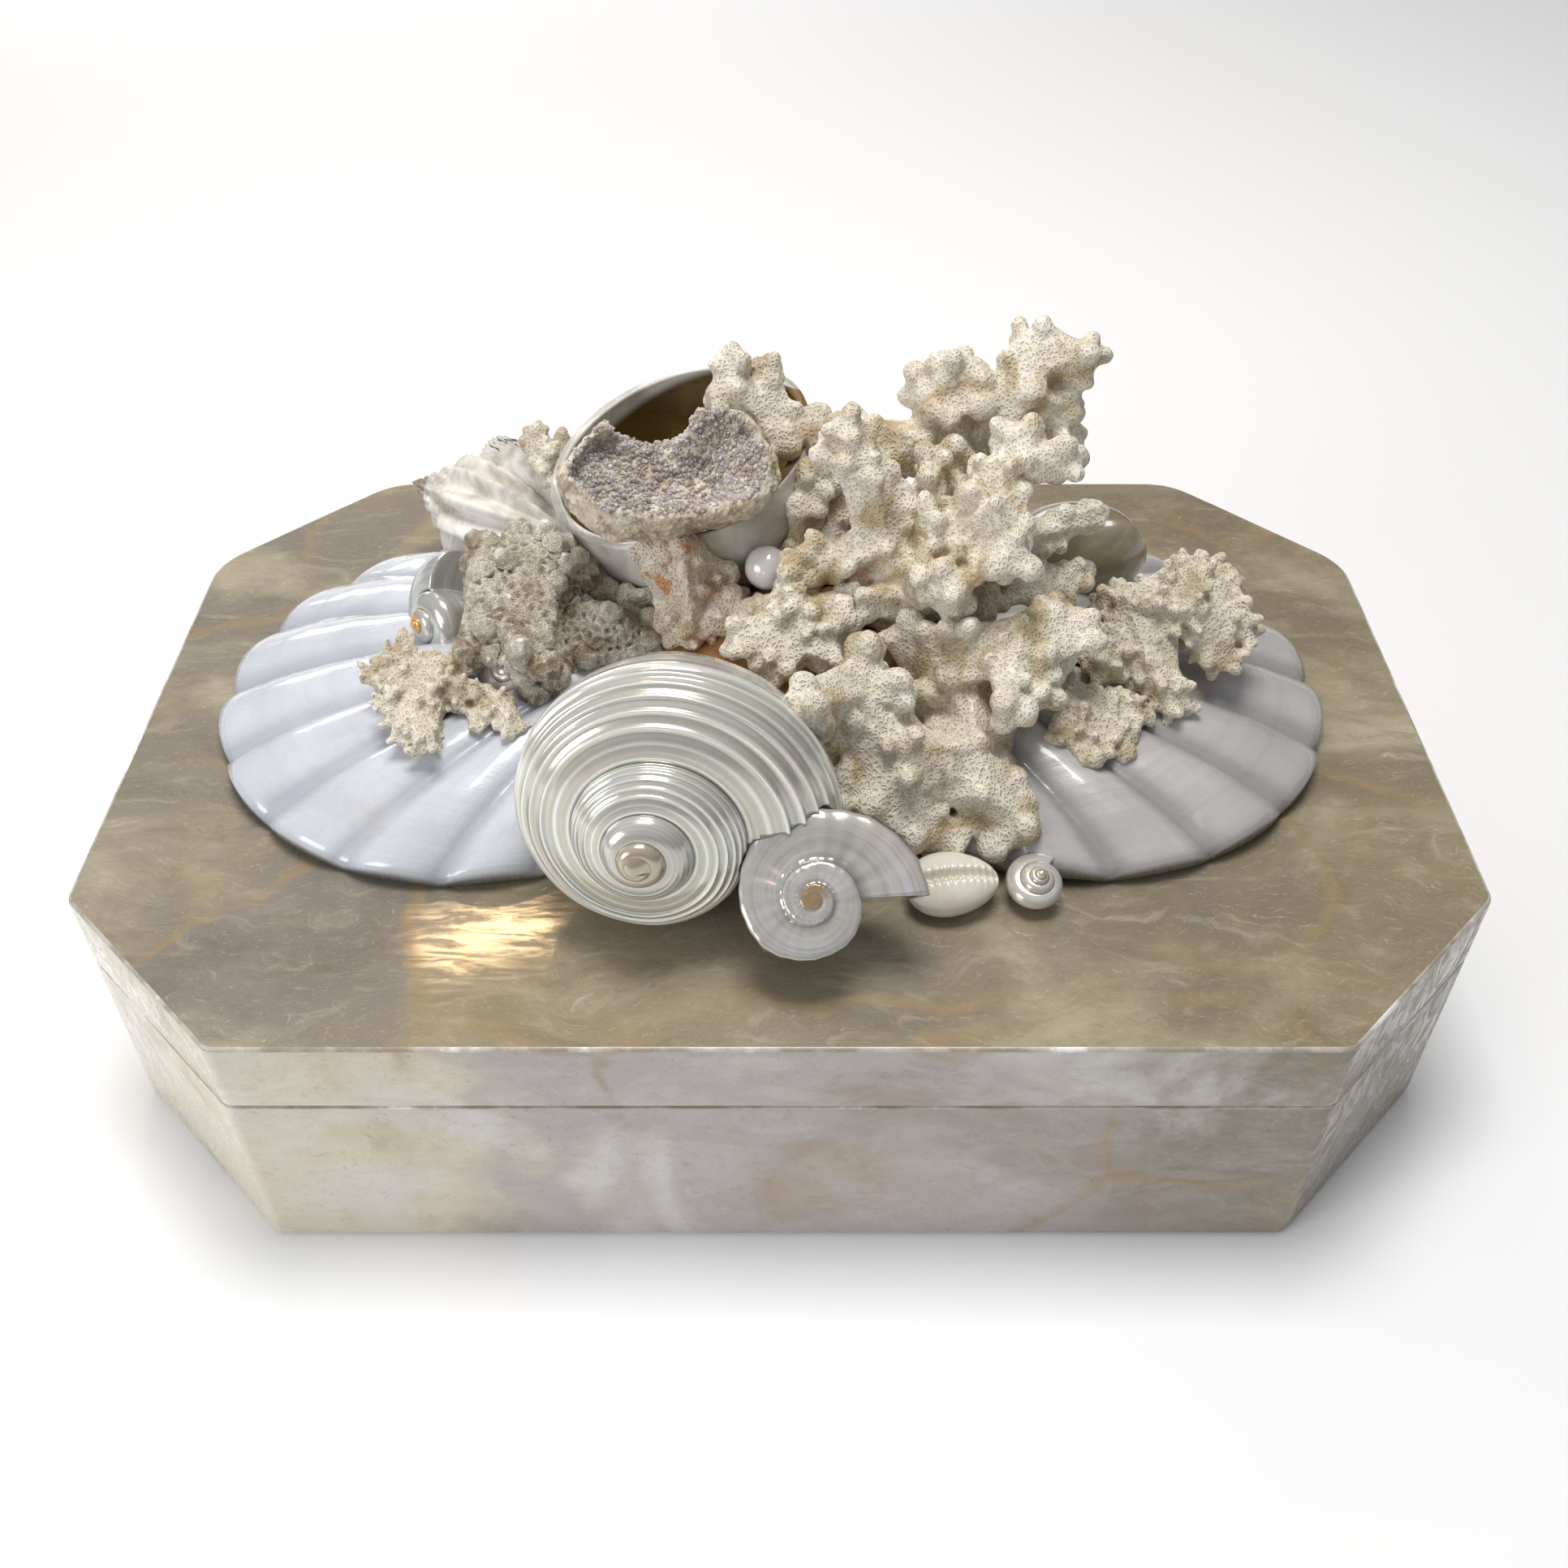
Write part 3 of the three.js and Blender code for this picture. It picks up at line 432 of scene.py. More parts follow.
def lining_material():
    """Plain pale wood of the insides and the underside."""
    paint = Finish("pale wood")
    place = paint.place
    grain = paint.noise(paint.stretch(place, (14.0, 220.0, 220.0)), 1.0, 4.0, 0.6, 0.4)
    clouds = paint.clouds(place, 18.0, ((0.5, 0.37, 0.24), (0.58, 0.45, 0.3), (0.66, 0.53, 0.37)))
    tint = paint.wash(clouds["Color"], (0.4, 0.28, 0.17), grain, 0.45, 0.7, 0.5)
    paint.shade(Base_Color=tint, Roughness=0.55, IOR=1.45)
    paint.bump((grain, 0.08, 0.5))
    return paint.material


def scallop_material(name, light, shade, warmth):
    """White scallop: pale satin ribs with cool painted shade in their grooves, and fine growth
    rings.
    """
    paint = Finish(name)
    place, uv = paint.place, paint.uv
    across = paint.parts(uv)
    rib = paint.maths("ABSOLUTE", paint.maths("SINE", paint.maths(
        "MULTIPLY", across["X"], math.pi * SCALLOP_SPOKES / SCALLOP_PER_RIB)))
    clouds = paint.clouds(paint.stretch(uv, (9.0, 2.0, 1.0)), 2.2, tints(shade, light), 0.2)
    rings = paint.growth(paint.pair(across["Y"], across["X"]), 34.0, 2.5)
    # Painted shade: the grooves between the ribs take the shade colour, the crests the light one.
    tint = paint.wash(shade, light, rib, 0.1, 0.75, 0.8)
    tint = paint.mix(0.3, tint, clouds["Color"])
    tint = paint.stain(tint, shade, rings["Mask"], 0.14)
    stained = paint.specks(place, 55.0, 0.42)
    tint = paint.stain(tint, (0.74, 0.62, 0.47), stained, warmth)
    fine = paint.noise(paint.stretch(uv, (160.0, 9.0, 1.0)), 1.0, 3.0, 0.6)
    paint.shade(Base_Color=tint, Roughness=paint.fade(fine, 0.3, 0.7, 0.2, 0.38), Coat_Weight=0.6,
                Coat_Roughness=0.08, IOR=1.5, **glow(0.1, 0.003))
    paint.bump((rings["Height"], 0.3, 0.5), (fine, 0.12, 0.5))
    return paint.material


def pearly_material(name, base, dark, play=0.35, bands=26.0, metal=0.3, tips=(),
                    suture_shade_share=0.75, cords=None):
    """Polished mother of pearl on a coiled shell, with spiral streaks and thin growth lines.

    `tips` are (turn where it starts, turn where it is full, colour, share), for the inner
    whorls; `cords` is (place of one cord, spacing) across a whorl, for a painted highlight on
    the cords and painted shade between them."""
    paint = Finish(name)
    uv = paint.uv
    across = paint.parts(uv)
    nacre = paint.group(NACRE, {
        "Vector": paint.stretch(uv, (1.3, 1.0, 1.0)), "Scale": 3.4, "Strength": play, "Base": base,
    })
    streaks = paint.noise(paint.pair(paint.maths("MULTIPLY", across["X"], 1.4),
                                     paint.maths("MULTIPLY", across["Y"], bands)), 1.0, 3.0, 0.6)
    tint = paint.wash(nacre["Color"], dark, streaks, 0.42, 0.7, 0.55)
    growth = paint.growth(uv, 46.0, 2.0)
    tint = paint.stain(tint, dark, growth["Mask"], 0.12)
    if cords is not None:
        first, spacing = cords
        steps = paint.maths("FRACT", paint.maths(
            "ADD", paint.maths("DIVIDE", paint.maths("SUBTRACT", across["Y"], first), spacing),
            20.5))
        apart = paint.maths("ABSOLUTE", paint.maths("SUBTRACT", steps, 0.5))
        # Painted shade in the grooves between the cords, then a painted highlight along each cord.
        tint = paint.wash(tint, dark, apart, 0.1, 0.22, 0.35)
        tint = paint.wash(tint, (0.95, 0.94, 0.9), apart, 0.05, 0.14, 0.0, 0.75)
    for start, full, colour, share in tips:
        tint = paint.wash(tint, colour, across["X"], start, full, share)
    # Painted shade: a dark line along the suture, the crease between whorls.
    suture = paint.fade(across["Y"], 0.95, 0.99)
    tint = paint.stain(tint, (0.09, 0.085, 0.08), suture, suture_shade_share)
    paint.shade(Base_Color=tint, Metallic=metal,
                Roughness=paint.fade(streaks, 0.35, 0.7, 0.12, 0.28), IOR=1.65, Coat_Weight=0.8,
                Coat_Roughness=0.05, Thin_Film_Thickness=420.0, Thin_Film_IOR=1.45)
    paint.bump((growth["Height"], 0.08, 0.3), (streaks, 0.05, 0.3))
    return paint.material


def coral_material(name, light, hollow, pit_scale=850.0, pit_width=0.3, stain=0.0):
    """Bleached coral: matt off-white with packed shallow cups; smooth tips with a painted
    highlight.
    """
    paint = Finish(name)
    place = paint.place
    pits = paint.group(PITS, {"Vector": place, "Scale": pit_scale, "Width": pit_width})
    high = paint.add("ShaderNodeNewGeometry")["Pointiness"]
    mix_share = paint.fade(high, 0.53, 0.6, 1.0, 0.1)
    cups = paint.maths("MULTIPLY", pits["Mask"], mix_share)
    clouds = paint.clouds(place, 90.0, tints(hollow, light, 0.75), 0.2)
    # Painted shade: hollows of low pointiness take the dark, warm hollow colour.
    tint = paint.wash(hollow, clouds["Color"], high, 0.4, 0.505)
    # Painted highlight: tips and crests of high pointiness turn whiter.
    tint = paint.wash(tint, (0.88, 0.86, 0.82), high, 0.52, 0.62, 0.8)
    # Painted shade in the cups: they are tinted towards the hollow colour.
    tint = paint.stain(tint, hollow, cups, 0.3)
    rust = paint.specks(place, 95.0, stain)
    tint = paint.stain(tint, (0.62, 0.27, 0.1), rust, 0.9)
    grit = paint.noise(place, 2600.0, 3.0, 0.7)
    paint.shade(Base_Color=tint, Roughness=0.7, IOR=1.5, **glow(0.15, 0.0015, (1.0, 0.85, 0.65)))
    paint.bump((paint.maths("SUBTRACT", 1.0, cups), 0.35, 1.0), (grit, 0.05, 0.25))
    return paint.material


def chalky_material(name, light, shade, streak):
    """Unpolished ribbed shell: chalky white, shaded, with one thin coloured spiral line."""
    paint = Finish(name)
    place, uv = paint.place, paint.uv
    across = paint.parts(uv)
    clouds = paint.clouds(place, 110.0, tints(shade, light), 0.14)
    growth = paint.growth(uv, 70.0, 1.0)
    tint = paint.stain(clouds["Color"], shade, growth["Mask"], 0.15)
    line = paint.fade(paint.maths("ABSOLUTE", paint.maths("SUBTRACT", across["Y"], 0.3)),
                      0.0, 0.03, 0.75, 0.0)
    tint = paint.mix(line, tint, streak)
    tint = paint.wash(tint, (0.33, 0.27, 0.21), across["X"], 2.8, 4.0, 0.8)
    threads = paint.maths("SINE", paint.maths("MULTIPLY", across["Y"], TAU * 9))
    paint.shade(Base_Color=tint, Roughness=0.5, IOR=1.5)
    paint.bump((growth["Height"], 0.2, 0.5), (threads, 0.12, 0.4))
    return paint.material


def smooth_shell_material(name, light, shade, brown):
    """Smooth glossy shell, browned in its hollows."""
    paint = Finish(name)
    place, uv = paint.place, paint.uv
    clouds = paint.clouds(place, 60.0, tints(shade, light), 0.16)
    growth = paint.growth(uv, 30.0, 2.0)
    tint = paint.stain(clouds["Color"], shade, growth["Mask"], 0.25)
    high = paint.add("ShaderNodeNewGeometry")["Pointiness"]
    tint = paint.wash(tint, brown, high, 0.35, 0.49, 0.0, 0.8)
    paint.shade(Base_Color=tint, Roughness=paint.fade(clouds["Mask"], 0, 1, 0.3, 0.2),
                Coat_Weight=0.5, Coat_Roughness=0.1, IOR=1.55)
    paint.bump((growth["Height"], 0.1, 0.35))
    return paint.material


PALE_SHELL = ((0.46, 0.44, 0.39), (0.58, 0.56, 0.51), (0.72, 0.7, 0.66))
BROWN_SHELL = ((0.075, 0.042, 0.008), (0.13, 0.078, 0.017), (0.2, 0.125, 0.034))


def mouth_outside_material():
    """Clouded pale grey shell."""
    paint = Finish("pale outside of the mouth shell")
    place = paint.place
    clouds = paint.clouds(place, 55.0, PALE_SHELL, 0.15)
    finish_mouth_shell(paint, clouds["Color"])
    return paint.material


def mouth_inside_material():
    """Olive-brown glaze that stops under a pale lip, which is broader to the left."""
    paint = Finish("brown inside of the mouth shell")
    place = paint.place
    pale = paint.clouds(place, 55.0, PALE_SHELL, 0.15)
    brown = paint.clouds(place, 32.0, BROWN_SHELL, 0.15)
    centre = Vector((MOUTH_PLACE[0], MOUTH_PLACE[1], MOUTH_PLACE[2] + LID_TOP)) * MM
    from_centre = paint.add("ShaderNodeVectorMath", {0: place, 1: centre},
                            operation="SUBTRACT")[0]
    height = paint.add("ShaderNodeVectorMath", {
        0: from_centre, 1: Vector(MOUTH_AXIS).normalized()}, operation="DOT_PRODUCT")[1]
    leftward = paint.maths("MULTIPLY", paint.parts(from_centre)["X"], LIP_LEAN)
    lip = paint.fade(paint.maths("SUBTRACT", height, leftward), 0.0005, 0.0035)
    finish_mouth_shell(paint, paint.mix(lip, brown["Color"], pale["Color"]))
    return paint.material


def finish_mouth_shell(paint, tint):
    """Feeds the shader of either side of the shell: a fine grain and a thin gloss."""
    grain = paint.noise(paint.stretch(paint.place, (90.0, 90.0, 400.0)), 1.0, 3.0)
    paint.shade(Base_Color=tint, IOR=1.55, Roughness=paint.fade(grain, 0.3, 0.7, 0.2, 0.36),
                Coat_Weight=0.2, Coat_Roughness=0.12, **glow(0.1, 0.003))
    paint.bump((grain, 0.08, 0.35))


SANDY_ROCK = ((0.34, 0.26, 0.16), (0.55, 0.46, 0.33), (0.7, 0.63, 0.5))
GREY_CRYSTAL = ((0.34, 0.285, 0.25), (0.43, 0.375, 0.345), (0.55, 0.5, 0.475))
AMBER = ((0.12, 0.05, 0.015), (0.3, 0.15, 0.05), (0.5, 0.33, 0.17))


def crust_material():
    """Sandy crust of the geode."""
    paint = Finish("geode crust")
    place = paint.place
    grains = paint.cells(place, 900.0)
    clouds = paint.clouds(place, 130.0, SANDY_ROCK, 0.16)
    own = paint.parts(grains["Color"])
    tint = paint.wash(clouds["Color"], (0.82, 0.77, 0.68), own["X"], 0.2, 0.9, 0.5)
    paint.shade(Base_Color=tint, Roughness=0.85, IOR=1.5)
    paint.bump((grains["Distance"], 0.5, 0.8))
    return paint.material


def druzy_material():
    """Small glassy crystals, grey-lilac, some of them almost clear."""
    paint = Finish("druzy crystals")
    place = paint.place
    clouds = paint.clouds(place, 150.0, GREY_CRYSTAL, 0.16)
    facets = paint.cells(place, 1500.0)
    own = paint.parts(facets["Color"])
    tint = paint.wash(clouds["Color"], (0.74, 0.7, 0.68), own["Y"], 0.6, 1.0, 0.35)
    paint.shade(Base_Color=tint, IOR=1.5, Coat_Weight=0.3, Coat_Roughness=0.1,
                Roughness=paint.fade(own["Z"], 0, 1, 0.12, 0.5),
                **glow(0.5, 0.002, (1.0, 0.9, 0.9)))
    paint.bump((facets["Distance"], 0.25, 0.5))
    return paint.material


def pearl_material():
    """Round pearl, white with a pink and green play."""
    paint = Finish("pearl lustre")
    place = paint.place
    nacre = paint.group(NACRE, {
        "Vector": place, "Scale": 90.0, "Strength": 0.35, "Base": (0.83, 0.78, 0.77),
    })
    skin = paint.noise(place, 700.0, 2.0)
    paint.shade(Base_Color=nacre["Color"], Metallic=0.15,
                Roughness=paint.fade(skin, 0.3, 0.7, 0.14, 0.24), IOR=1.6, Coat_Weight=0.9,
                Coat_Roughness=0.05, Thin_Film_Thickness=360.0, Thin_Film_IOR=1.4)
    paint.bump((skin, 0.02, 0.3))
    return paint.material


def glue_material():
    """Set amber-brown glue, uneven and shiny."""
    paint = Finish("amber glue")
    place = paint.place
    clouds = paint.clouds(place, 85.0, AMBER, 0.2)
    lumps = paint.noise(place, 300.0, 3.0)
    paint.shade(Base_Color=clouds["Color"], IOR=1.5, Coat_Weight=0.4,
                Roughness=paint.fade(lumps, 0.3, 0.7, 0.25, 0.5), Coat_Roughness=0.15,
                **glow(0.2, 0.004, (1.0, 0.7, 0.4)))
    paint.bump((lumps, 0.6, 0.6))
    return paint.material


# Meshes

def mesh_object(name, points, faces, corners=None):
    """An object from points in millimetres; `corners` holds one (u, v) for each face corner."""
    mesh = bpy.data.meshes.new(name)
    mesh.from_pydata((np.asarray(points) * MM).tolist(), [], faces)
    if corners is not None:
        layer = mesh.uv_layers.new(name="UVMap")
        layer.data.foreach_set("uv", np.asarray(corners, dtype=np.float32).ravel())
    mesh.validate()
    mesh.shade_smooth()
    return bpy.data.objects.new(name, mesh)


def add_piece(obj, slot, *materials, nodes=()):
    """Puts a finished piece in the scene, on the box, in place of its node."""
    link(obj)
    for material in materials:
        obj.data.materials.append(material)
    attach(obj, "root")
    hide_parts(*nodes)
    return obj


def on_lid(place, axis=(0, 0, 1), spin=0.0):
    """Matrix that sets a piece on the lid as the solids are set, from mm to metres."""
    turn = Vector((0, 0, 1)).rotation_difference(Vector(axis).normalized())
    where = Vector((place[0], place[1], place[2] + LID_TOP)) * MM
    return Matrix.Translation(where) @ turn.to_matrix().to_4x4() @ Matrix.Rotation(spin, 4, "Z")


def set_on_lid(obj, place, axis=(0, 0, 1), spin=0.0):
    obj.data.transform(on_lid(place, axis, spin))
    return obj


def copy_of(node, name):
    """A new object with a copy of a node's mesh, its materials left off."""
    mesh = bpy.data.objects[node].data.copy()
    mesh.materials.clear()
    return bpy.data.objects.new(name, mesh)


def object_from(name, body):
    """A new object with the shape of a bmesh, which it uses up."""
    mesh = bpy.data.meshes.new(name)
    body.to_mesh(mesh)
    body.free()
    return bpy.data.objects.new(name, mesh)


def drop(obj):
    mesh = obj.data
    bpy.data.objects.remove(obj)
    bpy.data.meshes.remove(mesh)


def add_modifier(obj, kind, **settings):
    modifier = obj.modifiers.new(kind.lower(), kind)
    for key, value in settings.items():
        setattr(modifier, key, value)
    return modifier


def apply_modifiers(obj):
    """Replaces the object's mesh by its modified shape."""
    link(obj)
    graph = bpy.context.evaluated_depsgraph_get()
    mesh = bpy.data.meshes.new_from_object(obj.evaluated_get(graph))
    mesh.materials.clear()
    obj.modifiers.clear()
    old = obj.data
    obj.data = mesh
    mesh.name = old.name
    bpy.data.meshes.remove(old)
    mesh.shade_smooth()
    return obj


def lump_texture(name, kind, size):
    """Texture for lumps, or for "CELLS": packed cells with thin raised walls."""
    texture = bpy.data.textures.new(name, "VORONOI" if kind == "CELLS" else kind)
    texture.noise_scale = size * MM
    if kind == "CELLS":
        texture.weight_1 = -1
        texture.weight_2 = 1
    return texture


def voxel_skin(obj, voxel, smooth=4, lumps=()):
    """Remeshes to one even skin, smooths it and pushes it in and out by the lumps.

    Each lump is (kind, size in mm, depth in mm)."""
    add_modifier(obj, "REMESH", mode="VOXEL", voxel_size=voxel * MM, use_smooth_shade=True)
    add_modifier(obj, "SMOOTH", factor=0.6, iterations=smooth)
    for kind, size, depth in lumps:
        texture = lump_texture(obj.name + " " + kind.lower(), kind, size)
        add_modifier(obj, "DISPLACE", texture=texture, texture_coords="LOCAL",
                     strength=depth * MM, mid_level=0.5, direction="NORMAL")
    return apply_modifiers(obj)


def cut_away(obj, tool):
    """Takes one object out of another and deletes the first."""
    link(tool)
    add_modifier(obj, "BOOLEAN", operation="DIFFERENCE", solver="MANIFOLD", object=tool)
    apply_modifiers(obj)
    drop(tool)


def grown_hull(name, obj, gap):
    """The convex hull of an object, which it uses up, moved out by `gap` millimetres."""
    body = bmesh.new()
    for vertex in obj.data.vertices:
        body.verts.new(vertex.co)
    hull = bmesh.ops.convex_hull(body, input=body.verts)
    bmesh.ops.delete(body, geom=list(set(hull["geom_interior"] + hull["geom_unused"])),
                     context="VERTS")
    body.normal_update()
    for vertex in body.verts:
        vertex.co += vertex.normal * gap * MM
    drop(obj)
    return object_from(name, body)


# Coiled shells

def coil_surface(shell, cords, steps, v):
    """Points of the whorls, in millimetres, at steps around the axis and places across."""
    radius, boldness, lift = shell["radius"], shell.get("boldness", 1), shell.get("lift", 1)
    turn = steps / shell["fine"][0]
    angle = TAU * turn
    outer = radius * shell["growth"] ** (-turn)
    inner = outer / shell["growth"]
    low, high = (shell["spire"] * (1 - (r / radius) ** lift) for r in (outer, inner))
    bow = math.pi / 2 * v
    rib = 1 + shell.get("rib_depth", 0) * np.cos(shell.get("ribs", 0) * angle) * np.cos(bow) ** 2
    r = (inner + (outer - inner) * np.cos(bow) ** boldness) * rib
    z = low + (high - low) * np.sin(bow) ** boldness
    if cords is not None:
        relief = cords(turn, v, outer)
        r = r + relief * np.cos(bow)
        z = z + relief * np.sin(bow)
    return np.stack(np.broadcast_arrays(r * np.cos(angle), r * np.sin(angle), z), axis=-1)


def coil(name, shell, cords=None):
    """A coiled shell with its axis along Z and its apex up, as a closed fine mesh.

    U counts turns inward from the lip, V runs from a whorl's shoulder to its suture. `cords`
    gives the height of the relief in millimetres from the turn, V and the whorl's reach.
    """
    per_turn, across, _ = shell["fine"]
    turns = shell["turns"]
    last = per_turn * turns
    steps = np.arange(last + per_turn + 1)[:, None]
    v = (np.arange(across) / across)[None, :]
    points = coil_surface(shell, cords, steps, v).reshape(-1, 3).tolist()

    def index(step, j):
        return (step + per_turn) * across if j == across else step * across + j

    faces, corners = [], []
    for step in range(last):
        for j in range(across):
            faces.append((index(step, j), index(step + 1, j),
                          index(step + 1, j + 1), index(step, j + 1)))
            u, v0, v1 = step / per_turn, j / across, (j + 1) / across
            ahead = u + 1 / per_turn
            corners += [(u, v0), (ahead, v0), (ahead, v1), (u, v1)]
    crown = [index(step, 0) for step in range(last, last + per_turn + 1)]
    crown += [index(last, j) for j in range(across - 1, 0, -1)]
    apex = len(points)
    points.append([0, 0, shell["spire"]])
    for k, start in enumerate(crown):
        faces.append((start, crown[(k + 1) % len(crown)], apex))
        corners += [(turns, 0.3)] * 3
    rim = [index(step, 0) for step in range(per_turn + 1)]
    rim += [index(0, j) for j in range(across - 1, 0, -1)]
    close_base(shell, cords, rim, points, faces, corners)
    return mesh_object(name, points, faces, corners)


def close_base(shell, cords, upper, points, faces, corners):
    """Rounds off the last whorl ring by ring, from its rim down to one point of the base."""
    per_turn, _, rings = shell["fine"]
    base, count = shell["base"], len(upper)
    rim = np.array([points[k] for k in upper])
    for ring in range(1, rings + 1):
        bow = math.pi / 2 * ring / (rings + 1)
        lower_points = rim * math.cos(bow)
        lower_points[:, 2] -= base * math.sin(bow)
        if cords is not None:
            reach = np.linalg.norm(rim[:, :2], axis=1)
            relief = cords(np.arange(count) / per_turn, -ring / rings, reach)
            outward = rim[:, :2] / np.maximum(reach, 1e-6)[:, None]
            lower_points[:, :2] += outward * (relief * math.cos(bow))[:, None]
            lower_points[:, 2] -= relief * math.sin(bow)
        lower = list(range(len(points), len(points) + count))
        points += lower_points.tolist()
        for k in range(count):
            after = (k + 1) % count
            faces.append((upper[after], upper[k], lower[k], lower[after]))
            u0, u1 = k / per_turn, (k + 1) / per_turn
            v0, v1 = -(ring - 1) / rings, -ring / rings
            corners += [(u1, v0), (u0, v0), (u0, v1), (u1, v1)]
        upper = lower
    foot = len(points)
    points.append([0, 0, -base])
    for k in range(count):
        faces.append((upper[(k + 1) % count], upper[k], foot))
        corners += [(k / per_turn, -1)] * 3


def raised_cords(places, width, height, full_reach):
    """Relief of round cords at the given places across a whorl, weaker towards the apex."""
    def relief(turn, v, reach):
        total = 0
        for place in places:
            total = total + np.exp(-((v - place) / width) ** 2)
        fade = np.clip((reach / full_reach - 0.25) / 0.4, 0, 1)
        wander = 1 + 0.25 * np.sin(turn * 31) * np.sin(turn * 17 + 1)
        return total * height * fade * wander
    return relief


TURBAN = {"radius": 40.5, "growth": 1.9, "turns": 4, "spire": 31, "base": 28, "lift": 0.9,
          "fine": (128, 76, 28), "place": ((-26, -59, 26.5), (-0.1, -0.97, 0.2), -0.5)}
CORD_SPACING = 0.14
CORD_WIDTH = 0.021
CORD_HEIGHT = 0.75
FIRST_CORD = -0.02
TURBAN_CORDS = [FIRST_CORD + CORD_SPACING * k for k in range(-4, 6)]
SPIRAL = {"radius": 24, "growth": 2.45, "turns": 3, "spire": 4, "base": 14, "boldness": 0.62,
          "fine": (128, 36, 20), "place": ((7, -83.5, 19.3), (0.0, -0.62, 0.78), 0.05)}
TOP_SHELL = {"radius": 8.4, "growth": 1.7, "turns": 4, "spire": 8, "base": 3.5, "lift": 0.8,
             "fine": (72, 16, 10), "place": ((57, -65, 4), (0.05, -0.3, 0.9), 1)}
GOLD_TIP = {"radius": 17, "growth": 2.2, "turns": 4, "spire": 12, "base": 13, "lift": 0.9,
            "fine": (96, 24, 14), "place": ((-82, 11, 21), (-0.7, -0.6, 0.3), 1)}
PINK_SHELL = {"radius": 10, "growth": 2, "turns": 3, "spire": 5, "base": 7,
              "fine": (64, 16, 8), "place": ((-64, -14, 24), (-0.2, -0.6, 0.7))}
OLIVE_SHELL = {"radius": 18, "growth": 2, "turns": 3, "spire": 14, "base": 20,
               "fine": (96, 22, 16), "place": ((76, 36, 26), (-0.5, 0.4, -0.5), 2)}
WHELK = {"radius": 18, "growth": 1.6, "turns": 5, "spire": 28, "base": 20, "lift": 0.9,
         "ribs": 10, "rib_depth": 0.18, "boldness": 0.55,
         "fine": (112, 26, 18), "place": ((-76, 61, 19), (-0.86, 0.3, 0.15))}


def coil_on_lid(name, shell, cords=None):
    return set_on_lid(coil(name, shell, cords), *shell["place"])


def wrinkles(turn, v, reach):
    """Relief of fine and broad wrinkles across the spiral shell's growth."""
    fine = np.sin(turn * 95 + v * 4) * np.sin(turn * 41 + 2) * 0.2
    broad = np.sin(turn * 23 + v * 3) * 0.34
    return (fine + broad) * np.clip(reach / SPIRAL["radius"], 0, 1)


def threads(turn, v, reach):
    """Relief of fine spiral threads on the whelk."""
    return 0.35 * np.cos(v * TAU * 8) * np.clip(reach / WHELK["radius"], 0.2, 1)


def make_turban():
    cords = raised_cords(TURBAN_CORDS, CORD_WIDTH, CORD_HEIGHT, TURBAN["radius"])
    shell = coil_on_lid("turban_shell_visual", TURBAN, cords)
    cut_away(shell, grown_hull("beside turban", coil_on_lid("spiral", SPIRAL), 0.4))
    material = pearly_material("silver turban pearl", (0.79, 0.765, 0.69), (0.4, 0.38, 0.31),
                               play=0.55, metal=0.42, cords=(FIRST_CORD, CORD_SPACING),
                               tips=[(1.5, 1.8, (0.56, 0.53, 0.5), 0.65),
                                     (2.6, 2.9, (0.52, 0.44, 0.33), 0.95)])
    add_piece(shell, "pearly_shell", material, nodes=["turban_shell"])


def make_small_coils():
    pearls = {
        "spiral_shell": pearly_material(
            "wrinkled grey pearl", (0.47, 0.455, 0.425), (0.27, 0.25, 0.22), play=0.3, bands=9.0,
            suture_shade_share=0.35, tips=[(1.9, 2.2, (0.3, 0.19, 0.08), 0.85)]),
        "top_shell": pearly_material(
            "small top shell pearl", (0.7, 0.66, 0.6), (0.34, 0.29, 0.23), play=0.7, bands=14.0,
            metal=0.4, tips=[(2.2, 2.8, (0.42, 0.35, 0.26), 0.8)]),
        "gold_tip_turban": pearly_material(
            "grey turban pearl", (0.56, 0.55, 0.52), (0.3, 0.285, 0.25), play=0.4, bands=8.0,
            metal=0.4, suture_shade_share=0.95, tips=[(1.9, 2.1, (0.72, 0.36, 0.1), 0.95)]),
        "pink_shell": pearly_material(
            "pink pearl", (0.78, 0.66, 0.68), (0.55, 0.42, 0.46), play=0.8),
    }
    forms = {"spiral_shell": (SPIRAL, wrinkles), "top_shell": (TOP_SHELL, None),
             "gold_tip_turban": (GOLD_TIP, None), "pink_shell": (PINK_SHELL, None)}
    for node, material in pearls.items():
        shell = coil_on_lid(node + "_visual", *forms[node])
        add_piece(shell, "pearly_shell", material, nodes=[node])
    olive = smooth_shell_material("olive shell", (0.32, 0.28, 0.19), (0.2, 0.165, 0.105),
                                  (0.22, 0.15, 0.08))
    add_piece(coil_on_lid("olive_shell_visual", OLIVE_SHELL), "olive_shell", olive,
              nodes=["olive_shell"])
    chalk = chalky_material("chalky whelk", (0.84, 0.81, 0.75), (0.55, 0.5, 0.43),
                            (0.72, 0.5, 0.2))
    add_piece(coil_on_lid("whelk_visual", WHELK, threads), "white_shell", chalk, nodes=["whelk"])


# The shell with the open mouth

MOUTH_PLACE = (-24, 35, 51)
MOUTH_AXIS = (-0.28, -0.13, 0.95)
MOUTH_SHELL = {"radius": 34, "depth": 36, "wall": 2.4, "drop": 4}
MOUTH_COIL = {"radius": 30, "growth": 1.9, "turns": 4, "spire": 24, "base": 20,
              "fine": (96, 24, 16)}
MOUTH_COIL_PLACE = (2, 4, -14)
MOUTH_COIL_AXIS = (0.2, 0.85, -0.5)
MOUTH_VOXEL = 0.9
LIP_LEAN = 0.16


